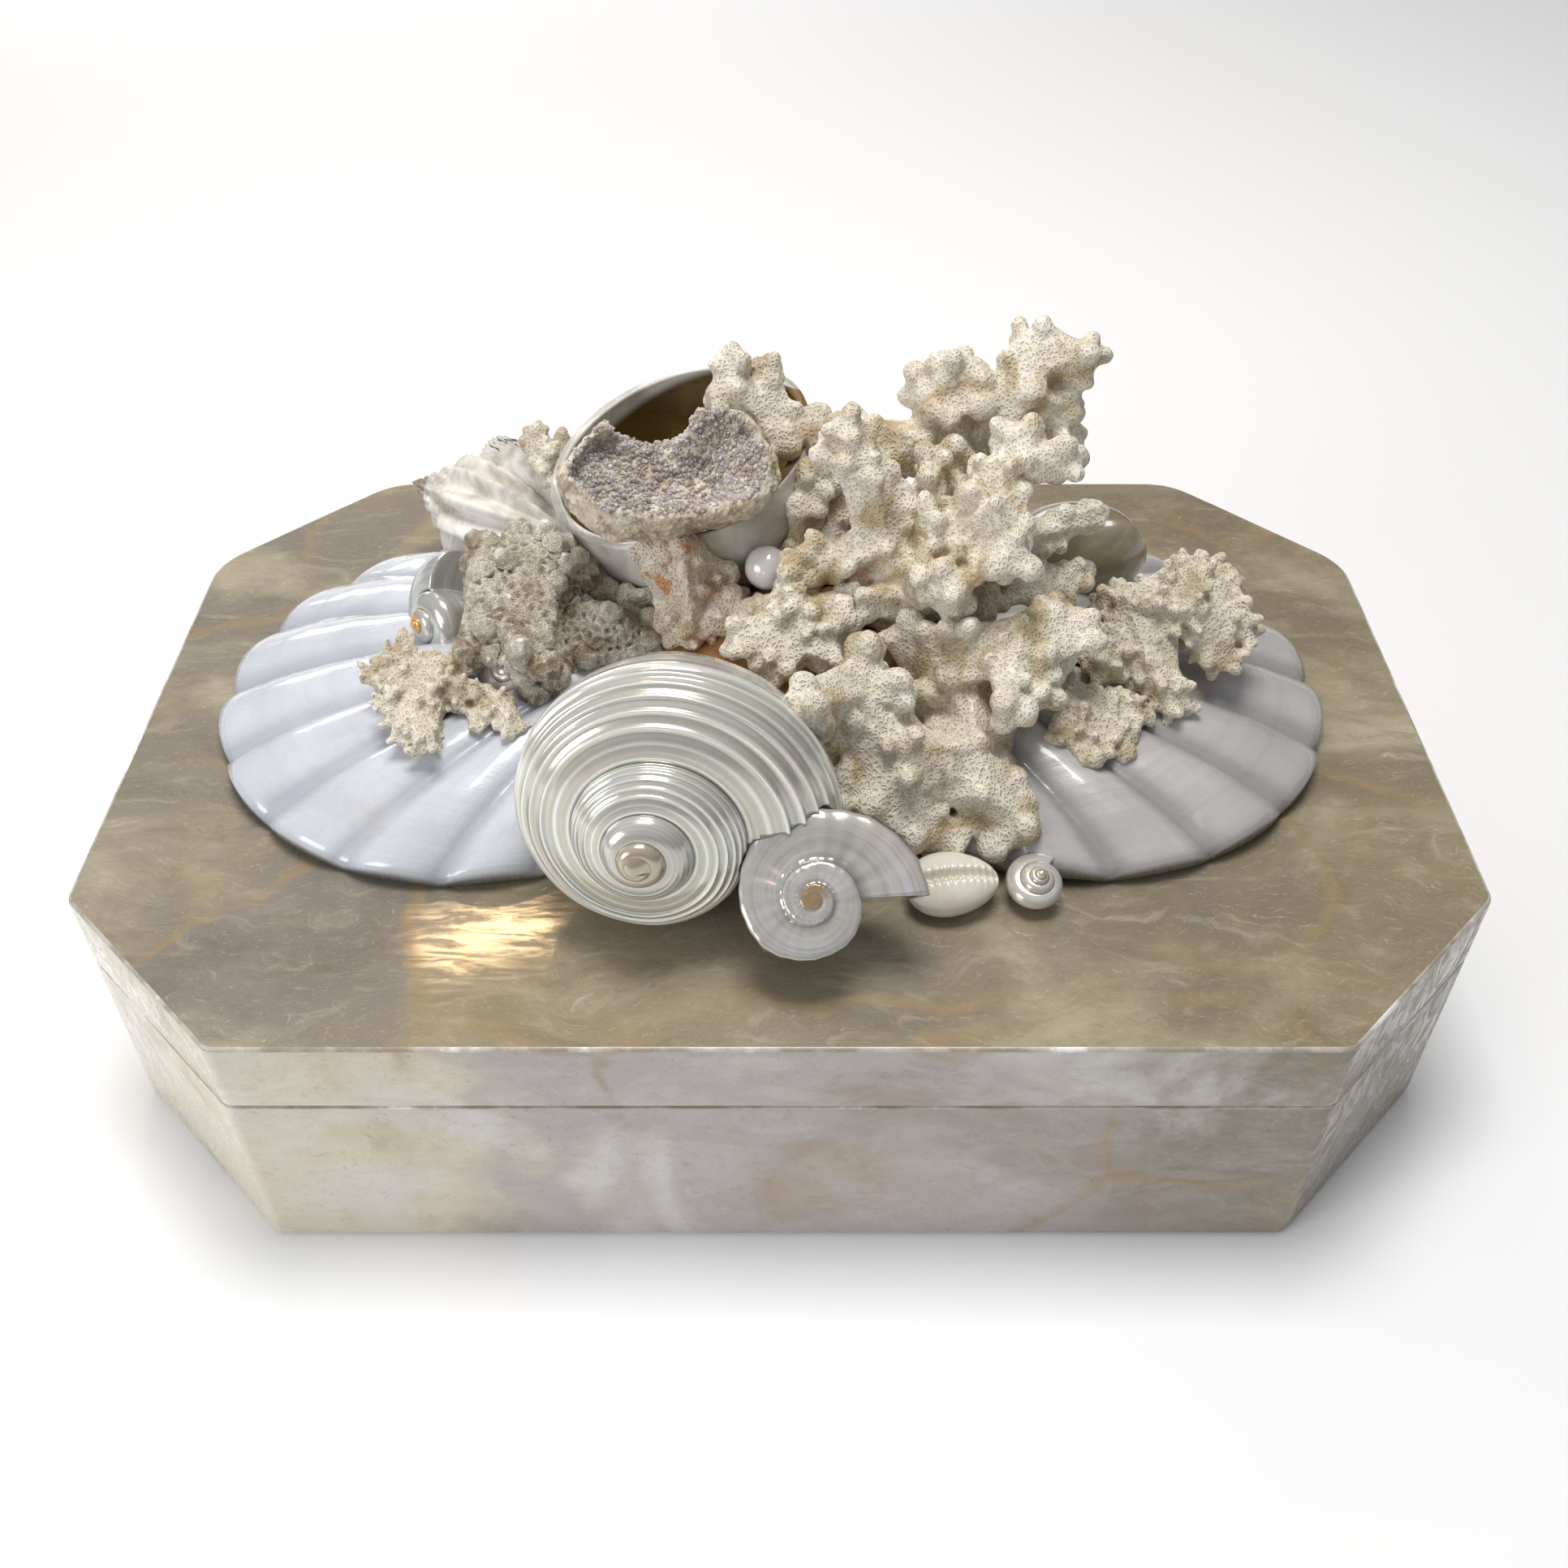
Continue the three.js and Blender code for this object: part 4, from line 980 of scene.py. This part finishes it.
def ellipsoid(name, reach, deep):
    body = bmesh.new()
    bmesh.ops.create_uvsphere(body, u_segments=96, v_segments=64, radius=MM)
    bmesh.ops.scale(body, vec=(reach, reach, deep), verts=body.verts)
    return object_from(name, body)


def joined(name, *objects):
    """One object with the meshes of several, which it uses up."""
    body = bmesh.new()
    for obj in objects:
        body.from_mesh(obj.data)
        drop(obj)
    return object_from(name, body)


def make_mouth_shell():
    """A globe with a thin lip, open at the top, and the coil of its spire behind it."""
    radius, depth, wall = (MOUTH_SHELL[key] for key in ("radius", "depth", "wall"))
    spire = coil("mouth spire", MOUTH_COIL)
    turn = Vector((0, 0, 1)).rotation_difference(Vector(MOUTH_COIL_AXIS).normalized())
    spire.data.transform(Matrix.Translation(Vector(MOUTH_COIL_PLACE) * MM)
                         @ turn.to_matrix().to_4x4())
    shell = joined("mouth_shell_visual", spire, ellipsoid("globe", radius, depth))
    voxel_skin(shell, MOUTH_VOXEL, 8, [("CLOUDS", 14.0, 0.7)])
    above = bmesh.new()
    bmesh.ops.create_cube(above, size=radius * 3 * MM)
    bmesh.ops.translate(above, vec=(0, 0, (MOUTH_SHELL["drop"] + radius * 1.5) * MM),
                        verts=above.verts)
    cut_away(shell, object_from("above mouth", above))
    cut_away(shell, ellipsoid("hollow", radius - wall, depth - wall))
    set_on_lid(shell, MOUTH_PLACE, MOUTH_AXIS)
    cut_away(shell, grown_hull("beside mouth shell", copy_of("geode", "geode room"), 0.35))
    reach = np.array([radius - wall, radius - wall, depth - wall]) * MM
    unset = on_lid(MOUTH_PLACE, MOUTH_AXIS).inverted()
    inside = [int(np.linalg.norm(np.array(unset @ face.center) / reach) < 1.01)
              for face in shell.data.polygons]
    shell.data.polygons.foreach_set("material_index", inside)
    add_piece(shell, "pearly_shell", mouth_outside_material(), mouth_inside_material(),
              nodes=["mouth_shell"])


# Scallops

SCALLOP = {"radius": 65.5, "reach": 50, "depth": 24, "thickness": 2.4, "ribs": 12,
           "rib_height": 3.4, "fan": 2.7}
SCALLOP_PER_RIB = 12
SCALLOP_BACK_STEPS = 40
SCALLOP_SPOKES = SCALLOP["ribs"] * SCALLOP_PER_RIB + SCALLOP_BACK_STEPS
SCALLOP_RINGS = 56


def scallop_spokes(seed):
    """For each spoke from the beak: its angle, how far off the rim is, and its share of a rib."""
    radius, reach, ribs, fan = (SCALLOP[key] for key in ("radius", "reach", "ribs", "fan"))
    fan_steps = ribs * SCALLOP_PER_RIB
    back_steps = SCALLOP_BACK_STEPS
    fan_angles = [-fan / 2 + fan * i / fan_steps for i in range(fan_steps + 1)]
    back_angles = [fan / 2 + (TAU - fan) * i / back_steps for i in range(1, back_steps)]
    spokes = np.array(fan_angles + back_angles)
    ahead = reach * np.cos(spokes)
    rim = ahead + np.sqrt(ahead ** 2 + radius ** 2 - reach ** 2)
    phase = np.arange(len(spokes)) / SCALLOP_PER_RIB
    on_fan = np.arange(len(spokes)) <= fan_steps
    crest = np.where(on_fan, np.abs(np.sin(math.pi * phase)) ** 0.7, 0)
    uneven = 0.85 + 0.3 * np.random.default_rng(seed).random(ribs + 4)
    return spokes, rim, crest * np.interp(phase, np.arange(ribs + 4), uneven)


def scallop_height(t, crest):
    """Height of the outer face at a share `t` of the way from the beak to the rim."""
    thickness = SCALLOP["thickness"]
    dome = (1 - t ** 2.4) ** 0.8 * (0.72 + 0.9 * t * (1 - t))
    growth = 0.1 * math.sin(t * 60) + 0.07 * math.sin(t * 143 + 1)
    swell = 0.35 * math.sin(t * 17)
    return (thickness + (SCALLOP["depth"] - thickness) * dome + (growth + swell) * t ** 2
            + SCALLOP["rib_height"] * crest * t ** 0.6)


def scallop(name, seed):
    """A scallop valve lying rim down, its fan towards +X and its beak at the origin."""
    thickness = SCALLOP["thickness"]
    spokes, rim, crest = scallop_spokes(seed)
    count = len(spokes)
    beak = float(scallop_height(0.0, crest)[0])
    points = [[0, 0, beak], [0, 0, beak - thickness * 1.5]]

    def ring(t, heights, spread=1.0):
        start = len(points)
        r = rim * t * (1 + 0.012 * (crest - 0.5) * t ** 4) * spread
        points.extend(np.stack([r * np.cos(spokes), r * np.sin(spokes), heights], axis=1).tolist())
        return start

    def under(t):
        return np.maximum(scallop_height(t, crest) - thickness * (0.6 + 0.9 * (1 - t)), 0)

    levels = [k / SCALLOP_RINGS for k in range(1, SCALLOP_RINGS + 1)]
    outer = [ring(t, scallop_height(t, crest)) for t in levels]
    lip = ring(1.0, SCALLOP["rib_height"] * crest * 0.6, 0.997)
    inner_levels = [1.0, 0.985, 0.95, 0.9, 0.8, 0.7, 0.55, 0.4, 0.25, 0.1]
    inner = [lip] + [ring(t, under(t)) for t in inner_levels[1:]]
    faces, corners = [], []

    def strip(low, high, low_level, high_level):
        for k in range(count):
            after = (k + 1) % count
            faces.append((low + k, low + after, high + after, high + k))
            u0, u1 = k / count, (k + 1) / count
            corners.extend([(u0, low_level), (u1, low_level), (u1, high_level), (u0, high_level)])

    for k in range(SCALLOP_RINGS - 1, 0, -1):
        strip(outer[k], outer[k - 1], levels[k], levels[k - 1])
    strip(lip, outer[-1], 1.0, 1.0)
    for k in range(1, len(inner)):
        strip(inner[k], inner[k - 1], inner_levels[k], inner_levels[k - 1])
    for k in range(count):
        after = (k + 1) % count
        faces.append((outer[0] + k, outer[0] + after, 0))
        faces.append((inner[-1] + after, inner[-1] + k, 1))
        corners.extend([(k / count, 0.0)] * 6)
    return mesh_object(name, points, faces, corners)


SCALLOP_LEFT = ((-24, 3, 0.3), (0, 0, 1), math.pi)
SCALLOP_RIGHT = ((20, 2, 0.3), (0, 0, 1), 0.05)


def make_scallops():
    left = set_on_lid(scallop("scallop_left_visual", 3), *SCALLOP_LEFT)
    right = set_on_lid(scallop("scallop_right_visual", 8), *SCALLOP_RIGHT)
    cool = scallop_material("cool white scallop", (0.66, 0.685, 0.73), (0.42, 0.435, 0.48), 0.1)
    warm = scallop_material("warm white scallop", (0.56, 0.54, 0.525), (0.3, 0.285, 0.28), 0.35)
    add_piece(left, "white_shell", cool, nodes=["scallop_left"])
    add_piece(right, "white_shell", warm, nodes=["scallop_right"])


# Cowrie and pearl

COWRIE = {"length": 21, "width": 15, "height": 11, "slit": 0.9, "teeth": 13,
          "rows": 84, "columns": 96, "place": ((38, -66, 6), (0, -0.3, 0.95), 0.1)}


def cowrie_height(along, reach, y, z):
    """Height of the upper face: flattened, with a toothed ridge on each side of the slit."""
    side = abs(y) / (COWRIE["width"] / 2)
    flat = 1 - 0.12 * math.exp(-(side / 0.5) ** 2)
    tooth = 0.5 + 0.5 * math.cos(TAU * COWRIE["teeth"] * (along + 1) / 2)
    ends = min(1, reach * 1.6)
    ridge = 0.42 * tooth * math.exp(-((side - 0.16) / 0.16) ** 2) * ends
    cut = 2.1 * math.exp(-(y / COWRIE["slit"]) ** 2) * ends * (1 - 0.35 * tooth)
    return z * flat + ridge - cut


def make_cowrie():
    """Egg-shaped shell lying on its back, its toothed slit up and its length along X."""
    half, width, height = COWRIE["length"] / 2, COWRIE["width"], COWRIE["height"]
    rows, columns = COWRIE["rows"], COWRIE["columns"]
    points, faces, corners = [[half, 0, 0], [-half, 0, 0]], [], []
    for i in range(1, rows):
        along, reach = math.cos(math.pi * i / rows), math.sin(math.pi * i / rows)
        fullness = 1 - 0.16 * along
        for j in range(columns):
            angle = TAU * j / columns
            y = width / 2 * reach * fullness * math.sin(angle)
            z = height / 2 * reach * math.cos(angle)
            points.append([half * along, y, cowrie_height(along, reach, y, z) if z > 0 else z])

    def index(i, j):
        return 2 + (i - 1) * columns + j % columns

    for j in range(columns):
        faces.append((0, index(1, j), index(1, j + 1)))
        faces.append((1, index(rows - 1, j + 1), index(rows - 1, j)))
        corners += [(0.0, j / columns)] * 3 + [(1.0, j / columns)] * 3
        for i in range(1, rows - 1):
            faces.append((index(i, j), index(i + 1, j), index(i + 1, j + 1), index(i, j + 1)))
            u0, u1, v0, v1 = i / rows, (i + 1) / rows, j / columns, (j + 1) / columns
            corners += [(u0, v0), (u1, v0), (u1, v1), (u0, v1)]
    cowrie = set_on_lid(mesh_object("cowrie_visual", points, faces, corners), *COWRIE["place"])
    cream = smooth_shell_material("cream cowrie", (0.83, 0.79, 0.7), (0.7, 0.64, 0.54),
                                  (0.4, 0.29, 0.17))
    add_piece(cowrie, "white_shell", cream, nodes=["cowrie"])


def make_pearl():
    """A pearl a little out of round, with a faint ring where it was drilled."""
    pearl = copy_of("pearl", "pearl_visual")
    middle = sum((Vector(v.co) for v in pearl.data.vertices), Vector()) / len(pearl.data.vertices)
    low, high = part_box("pearl")
    radius = (high.x - low.x) / 2
    ball = bmesh.new()
    bmesh.ops.create_uvsphere(ball, u_segments=64, v_segments=40, radius=radius)
    for vertex in ball.verts:
        direction = vertex.co.normalized()
        uneven = 1 + 0.006 * math.sin(3 * direction.x + 2) * math.cos(4 * direction.y)
        drilled = 1 - 0.02 * math.exp(-((1 - direction.x) / 0.004) ** 2)
        vertex.co *= uneven * drilled * 0.997
        vertex.co += middle
    ball.to_mesh(pearl.data)
    ball.free()
    pearl.data.shade_smooth()
    add_piece(pearl, "pearl", pearl_material(), nodes=["pearl"])


# Coral

TIP_SHARPNESS = 0.5


def add_knob(body, spot, out, radius, tall):
    """One rounded knob, `tall` times as long as it is wide, that points along `out`."""
    turn = Vector((0, 0, 1)).rotation_difference(out).to_matrix().to_4x4()
    shape = Matrix.Translation(spot) @ turn @ Matrix.Diagonal((1, 1, tall, 1))
    bmesh.ops.create_icosphere(body, subdivisions=2, radius=radius, matrix=shape)


def add_tips(body, size, rng):
    """Rounded knobs at the corners that stand out of a coral's mesh."""
    tips = []
    for vertex in body.verts:
        around = [edge.other_vert(vertex).co for edge in vertex.link_edges]
        middle = sum(around, Vector()) / len(around)
        inward = middle - vertex.co
        if inward.dot(vertex.normal) < -TIP_SHARPNESS * size * MM:
            tips.append((vertex.co.copy(), -inward.normalized()))
    for spot, out in tips:
        radius = size * (0.85 + 0.5 * float(rng.random())) * MM
        add_knob(body, spot - out * radius * 0.75, out, radius, 1.15)


def add_nubs(obj, count, size, seed, reach):
    """Joins knobs to a coral's mesh: at its corners, and `count` longer ones at random places."""
    rng = np.random.default_rng(seed)
    body = bmesh.new()
    body.from_mesh(obj.data)
    bmesh.ops.remove_doubles(body, verts=body.verts, dist=0.01 * MM)
    bmesh.ops.triangulate(body, faces=body.faces)
    body.normal_update()
    middle = sum((vertex.co for vertex in body.verts), Vector()) / len(body.verts)
    sides = list(body.faces)
    areas = np.array([side.calc_area() for side in sides])
    nubs = []
    for pick in rng.choice(len(sides), size=count, p=areas / areas.sum()):
        side = sides[pick]
        share = rng.random(2)
        if share.sum() > 1:
            share = 1 - share
        a, b, c = (vertex.co for vertex in side.verts)
        spot = a + (b - a) * float(share[0]) + (c - a) * float(share[1])
        lean = Vector(rng.normal(size=3).tolist()) * 0.35
        away = (spot - middle).normalized() * 0.6
        out = (side.normal + lean + away + Vector((0, 0, 0.15))).normalized()
        radius = size * (0.65 + 0.45 * float(rng.random())) * MM
        tall = reach * (0.6 + 0.7 * float(rng.random()))
        nubs.append((spot + out * radius * tall * 0.45, out, radius, tall))
    add_tips(body, size, rng)
    for nub in nubs:
        add_knob(body, *nub)
    body.to_mesh(obj.data)
    body.free()


def coral(node, material, voxel=0.5, nubs=60, size=2.2, seed=1, reach=1.7, smooth=14,
          lumps=(("CLOUDS", 2.6, 0.7),)):
    """A branch of coral grown from its solid: knobs first, then one smooth skin over all."""
    piece = copy_of(node, node + "_visual")
    add_nubs(piece, nubs, size, seed, reach)
    voxel_skin(piece, voxel * (1), smooth, lumps)
    add_piece(piece, "coral", material, nodes=[node])
    return piece


def make_corals():
    white = coral_material("bleached coral", (0.85, 0.8, 0.69), (0.5, 0.39, 0.23))
    cream = coral_material("cream coral", (0.76, 0.7, 0.58), (0.47, 0.38, 0.24))
    stained = coral_material("stained coral", (0.8, 0.73, 0.61), (0.52, 0.38, 0.24), stain=0.5)
    comb = coral_material("honeycomb coral", (0.64, 0.59, 0.49), (0.28, 0.215, 0.13),
                          pit_scale=1500.0)
    coral("coral_tall", white, voxel=0.65, nubs=22, size=2.8, seed=11, reach=1.4, smooth=8)
    coral("coral_bush", white, voxel=0.68, nubs=60, size=2.4, seed=12, reach=1.6, smooth=6)
    coral("coral_front", white, voxel=0.65, nubs=30, size=2.7, seed=13, reach=1.5, smooth=8)
    coral("coral_right", cream, voxel=0.52, nubs=150, size=1.6, seed=14, reach=1.6, smooth=9)
    coral("coral_right_low", cream, voxel=0.5, nubs=60, size=1.6, seed=15, reach=1.4, smooth=10)
    coral("coral_centre", white, voxel=0.5, nubs=35, size=2.1, seed=16, reach=1.4, smooth=10)
    coral("coral_behind_pearl", white, voxel=0.5, nubs=24, size=2.3, seed=17, reach=1.3,
          smooth=10)
    coral("coral_stained", stained, voxel=0.48, nubs=35, size=1.9, seed=18, reach=1.5, smooth=9)
    coral("coral_mid_left", white, voxel=0.5, nubs=35, size=1.7, seed=19, reach=1.5, smooth=8)
    coral("coral_mouth", white, voxel=0.6, nubs=24, size=2.6, seed=20, reach=1.3, smooth=12)
    coral("coral_honeycomb", comb, voxel=0.46, nubs=14, size=1.8, seed=21, smooth=5,
          lumps=(("CLOUDS", 5.0, 0.8), ("CELLS", 2.2, -3.4)))
    coral("coral_left_low", cream, voxel=0.44, nubs=80, size=1.1, seed=22, reach=2.4, smooth=6)
    coral("coral_back_left", cream, voxel=0.6, nubs=25, size=1.8, seed=23, smooth=9)


# Geode and glue

GEODE_PLACE = ((-25, 4.5, 68), (0, -0.42, 0.9), 0.1)
GEODE_GAP = (-3, 17, 2.5)
GEODE_GAP_RADIUS = 11
ABOVE_HOLLOW = (0, -2, 12)
CRYSTALS = 2400
CRYSTAL_SIDES = 6


def crystals(name, spots, directions, radii, heights, spins):
    """Small six-sided crystals with blunt tips, one on each spot; all lengths in metres."""
    turns = TAU * np.arange(CRYSTAL_SIDES) / CRYSTAL_SIDES
    points, faces = [], []
    for spot, out, radius, height, spin in zip(spots, directions, radii, heights, spins):
        side = out.orthogonal().normalized()
        other = out.cross(side)
        start = len(points)
        for level, share in ((-0.3, 1.0), (0.55, 0.85)):
            for turn in turns:
                around = side * math.cos(turn + spin) + other * math.sin(turn + spin)
                points.append((spot + around * radius * share + out * height * level) / MM)
        points.append((spot + out * height) / MM)
        tip = start + 2 * CRYSTAL_SIDES
        for k in range(CRYSTAL_SIDES):
            low, after = start + k, start + (k + 1) % CRYSTAL_SIDES
            faces.append((low, after, after + CRYSTAL_SIDES, low + CRYSTAL_SIDES))
            faces.append((low + CRYSTAL_SIDES, after + CRYSTAL_SIDES, tip))
        faces.append(tuple(range(start + CRYSTAL_SIDES - 1, start - 1, -1)))
    obj = mesh_object(name, np.array([list(point) for point in points]), faces)
    obj.data.shade_flat()
    return obj


def make_geode():
    """Rough crust with small crystals standing all over its hollow."""
    crust = copy_of("geode", "geode_visual")
    gap = ellipsoid("geode gap", GEODE_GAP_RADIUS, GEODE_GAP_RADIUS)
    gap.data.transform(on_lid(*GEODE_PLACE) @ Matrix.Translation(Vector(GEODE_GAP) * MM))
    voxel_skin(crust, 0.7, 0)
    cut_away(crust, gap)
    voxel_skin(crust, 0.7, 6, [("CLOUDS", 6.0, 2.2), ("CLOUDS", 1.8, 1.1), ("VORONOI", 1.0, -0.5)])
    add_piece(crust, "geode", crust_material(), nodes=["geode"])
    low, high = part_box("geode")
    middle = (low + high) / 2
    rng = np.random.default_rng(31)
    above = middle + Vector(ABOVE_HOLLOW) * MM
    hollow = [face for face in crust.data.polygons
              if (above - face.center).dot(face.normal) > 0 and face.normal.z > -0.2]
    chosen = [hollow[k] for k in rng.choice(len(hollow), min(CRYSTALS, len(hollow)), False)]
    spots = [face.center.copy() for face in chosen]
    directions = [(face.normal + Vector(rng.normal(size=3).tolist()) * 0.4).normalized()
                  for face in chosen]
    radii = (0.3 + 0.5 * rng.random(len(chosen)) ** 3) * MM
    heights = radii * (0.9 + 0.9 * rng.random(len(chosen)))
    piece = crystals("geode_crystals", spots, directions, radii.tolist(), heights.tolist(),
                     (rng.random(len(chosen)) * TAU).tolist())
    add_piece(piece, "geode", druzy_material(), nodes=["geode"])


def make_glue():
    glue = copy_of("glue_bed", "glue_bed_visual")
    voxel_skin(glue, 1.5, 4, [("CLOUDS", 9.0, 2.0), ("CLOUDS", 3.0, 1.0)])
    add_piece(glue, "glue", glue_material(), nodes=["glue_bed"])


# The box

CORNER_CUT = 42
FRONT_EDGE_RADIUS = 5
BACK_EDGE_RADIUS = 20
WALL = 7
FLOOR = 6
LID_THICKNESS = 6
LIP_WIDTH = 3
LIP_HEIGHT = 5
LIP_CLEARANCE = 0.5
SEAM_GAP = 0.3
FOOT_ROUNDING = 2
RIM_ROUNDING = 0.8
FLAT_MARGIN = 0.5
CORNER_STEPS = 10


def outline(inset):
    """Points around the octagon, drawn `inset` inside the outer face of the box."""
    x, y = HALF_LENGTH - inset, HALF_DEPTH - inset
    cut = CORNER_CUT - inset * (2 - math.sqrt(2))
    corners = [Vector(pair) for pair in (
        (x - cut, -y), (x, -y + cut), (x, y - cut), (x - cut, y),
        (-x + cut, y), (-x, y - cut), (-x, -y + cut), (-x + cut, -y))]
    points = []
    for i, corner in enumerate(corners):
        before, after = corners[i - 1], corners[(i + 1) % 8]
        edge_radius = FRONT_EDGE_RADIUS if corner.y < 0 else BACK_EDGE_RADIUS
        reach = max(edge_radius - inset, 1) * math.tan(math.pi / 8)
        start = corner + (before - corner).normalized() * reach
        end = corner + (after - corner).normalized() * reach
        for step in range(CORNER_STEPS + 1):
            t = step / CORNER_STEPS
            points.append(start * (1 - t) ** 2 + corner * 2 * t * (1 - t) + end * t ** 2)
    return points


def rounded(inset_from, z_from, inset_to, z_to, steps=4):
    """Quarter round between two rings, bulging outward; `inset_to` is reached last."""
    turned = []
    for step in range(steps + 1):
        angle = math.pi / 2 * step / steps
        if inset_to < inset_from:
            inset = inset_to + (inset_from - inset_to) * (1 - math.sin(angle))
            z = z_from + (z_to - z_from) * (1 - math.cos(angle))
        else:
            inset = inset_from + (inset_to - inset_from) * (1 - math.cos(angle))
            z = z_from + (z_to - z_from) * math.sin(angle)
        turned.append((inset, z))
    return turned


def loft(name, profile, finishes):
    """Closed form from rings of the outline; `finishes` is the material index after each ring."""
    points, faces, kinds = [], [], []
    count = len(outline(0))
    for inset, z in profile:
        points += [[p.x, p.y, z] for p in outline(inset)]
    for ring in range(len(profile) - 1):
        for k in range(count):
            after = (k + 1) % count
            low, high = ring * count, (ring + 1) * count
            faces.append((low + k, low + after, high + after, high + k))
            kinds.append(finishes[ring])
    faces.append(tuple(range(count - 1, -1, -1)))
    kinds.append(finishes[0])
    top = (len(profile) - 1) * count
    faces.append(tuple(range(top, top + count)))
    kinds.append(finishes[-1])
    obj = mesh_object(name, points, faces)
    obj.data.polygons.foreach_set("material_index", kinds)
    obj.data.set_sharp_from_angle(angle=math.radians(40))
    return obj


def make_box():
    veneer, edge, lining = veneer_material(), edge_material(), lining_material()
    tray_top = SEAM - SEAM_GAP
    foot = rounded(FOOT_ROUNDING, 0, 0, FOOT_ROUNDING)
    rim = rounded(0, tray_top - 0.5, 0.5, tray_top, 3)
    inside = [(WALL - LIP_WIDTH, tray_top), (WALL - LIP_WIDTH, tray_top + LIP_HEIGHT),
              (WALL, tray_top + LIP_HEIGHT), (WALL, FLOOR)]
    profile = foot + rim + inside
    finishes = [0] * len(foot) + [1] * len(rim) + [2] * len(inside)
    tray = loft("box_tray_visual", profile, finishes)
    add_piece(tray, "shell_veneer", veneer, edge, lining, nodes=["box_tray"])
    inset = WALL - LIP_WIDTH - LIP_CLEARANCE
    under = [(inset, LID_TOP - LID_THICKNESS), (inset, SEAM)]
    low_rim = rounded(0.5, SEAM, 0, SEAM + 0.5, 3)
    top_rim = rounded(0, LID_TOP - RIM_ROUNDING, RIM_ROUNDING, LID_TOP)
    flat = [(RIM_ROUNDING + FLAT_MARGIN, LID_TOP)]
    profile = under + low_rim + top_rim + flat
    finishes = [2] * len(under) + [1] * len(low_rim) + [1] * len(top_rim) + [0] * len(flat)
    finishes[len(under) + len(low_rim) - 1] = 0
    finishes[-2] = 0
    lid = loft("box_lid_visual", profile, finishes)
    add_piece(lid, "shell_veneer", veneer, edge, lining, nodes=["box_lid"])


FLOOR_REACH = 3000


def make_floor():
    """Plain pale floor, wide enough for every view."""
    corners = [(-1, -1, 0), (1, -1, 0), (1, 1, 0), (-1, 1, 0)]
    floor = mesh_object("floor", np.array(corners) * FLOOR_REACH, [(0, 1, 2, 3)])
    paint = Finish("pale floor")
    paint.shade(Base_Color=(0.94, 0.94, 0.94), Roughness=0.8)
    floor.data.materials.append(paint.material)
    link(floor)


add_camera()
add_lights()
make_floor()
make_box()
make_scallops()
make_turban()
make_small_coils()
make_mouth_shell()
make_cowrie()
make_pearl()
make_glue()
make_geode()
make_corals()
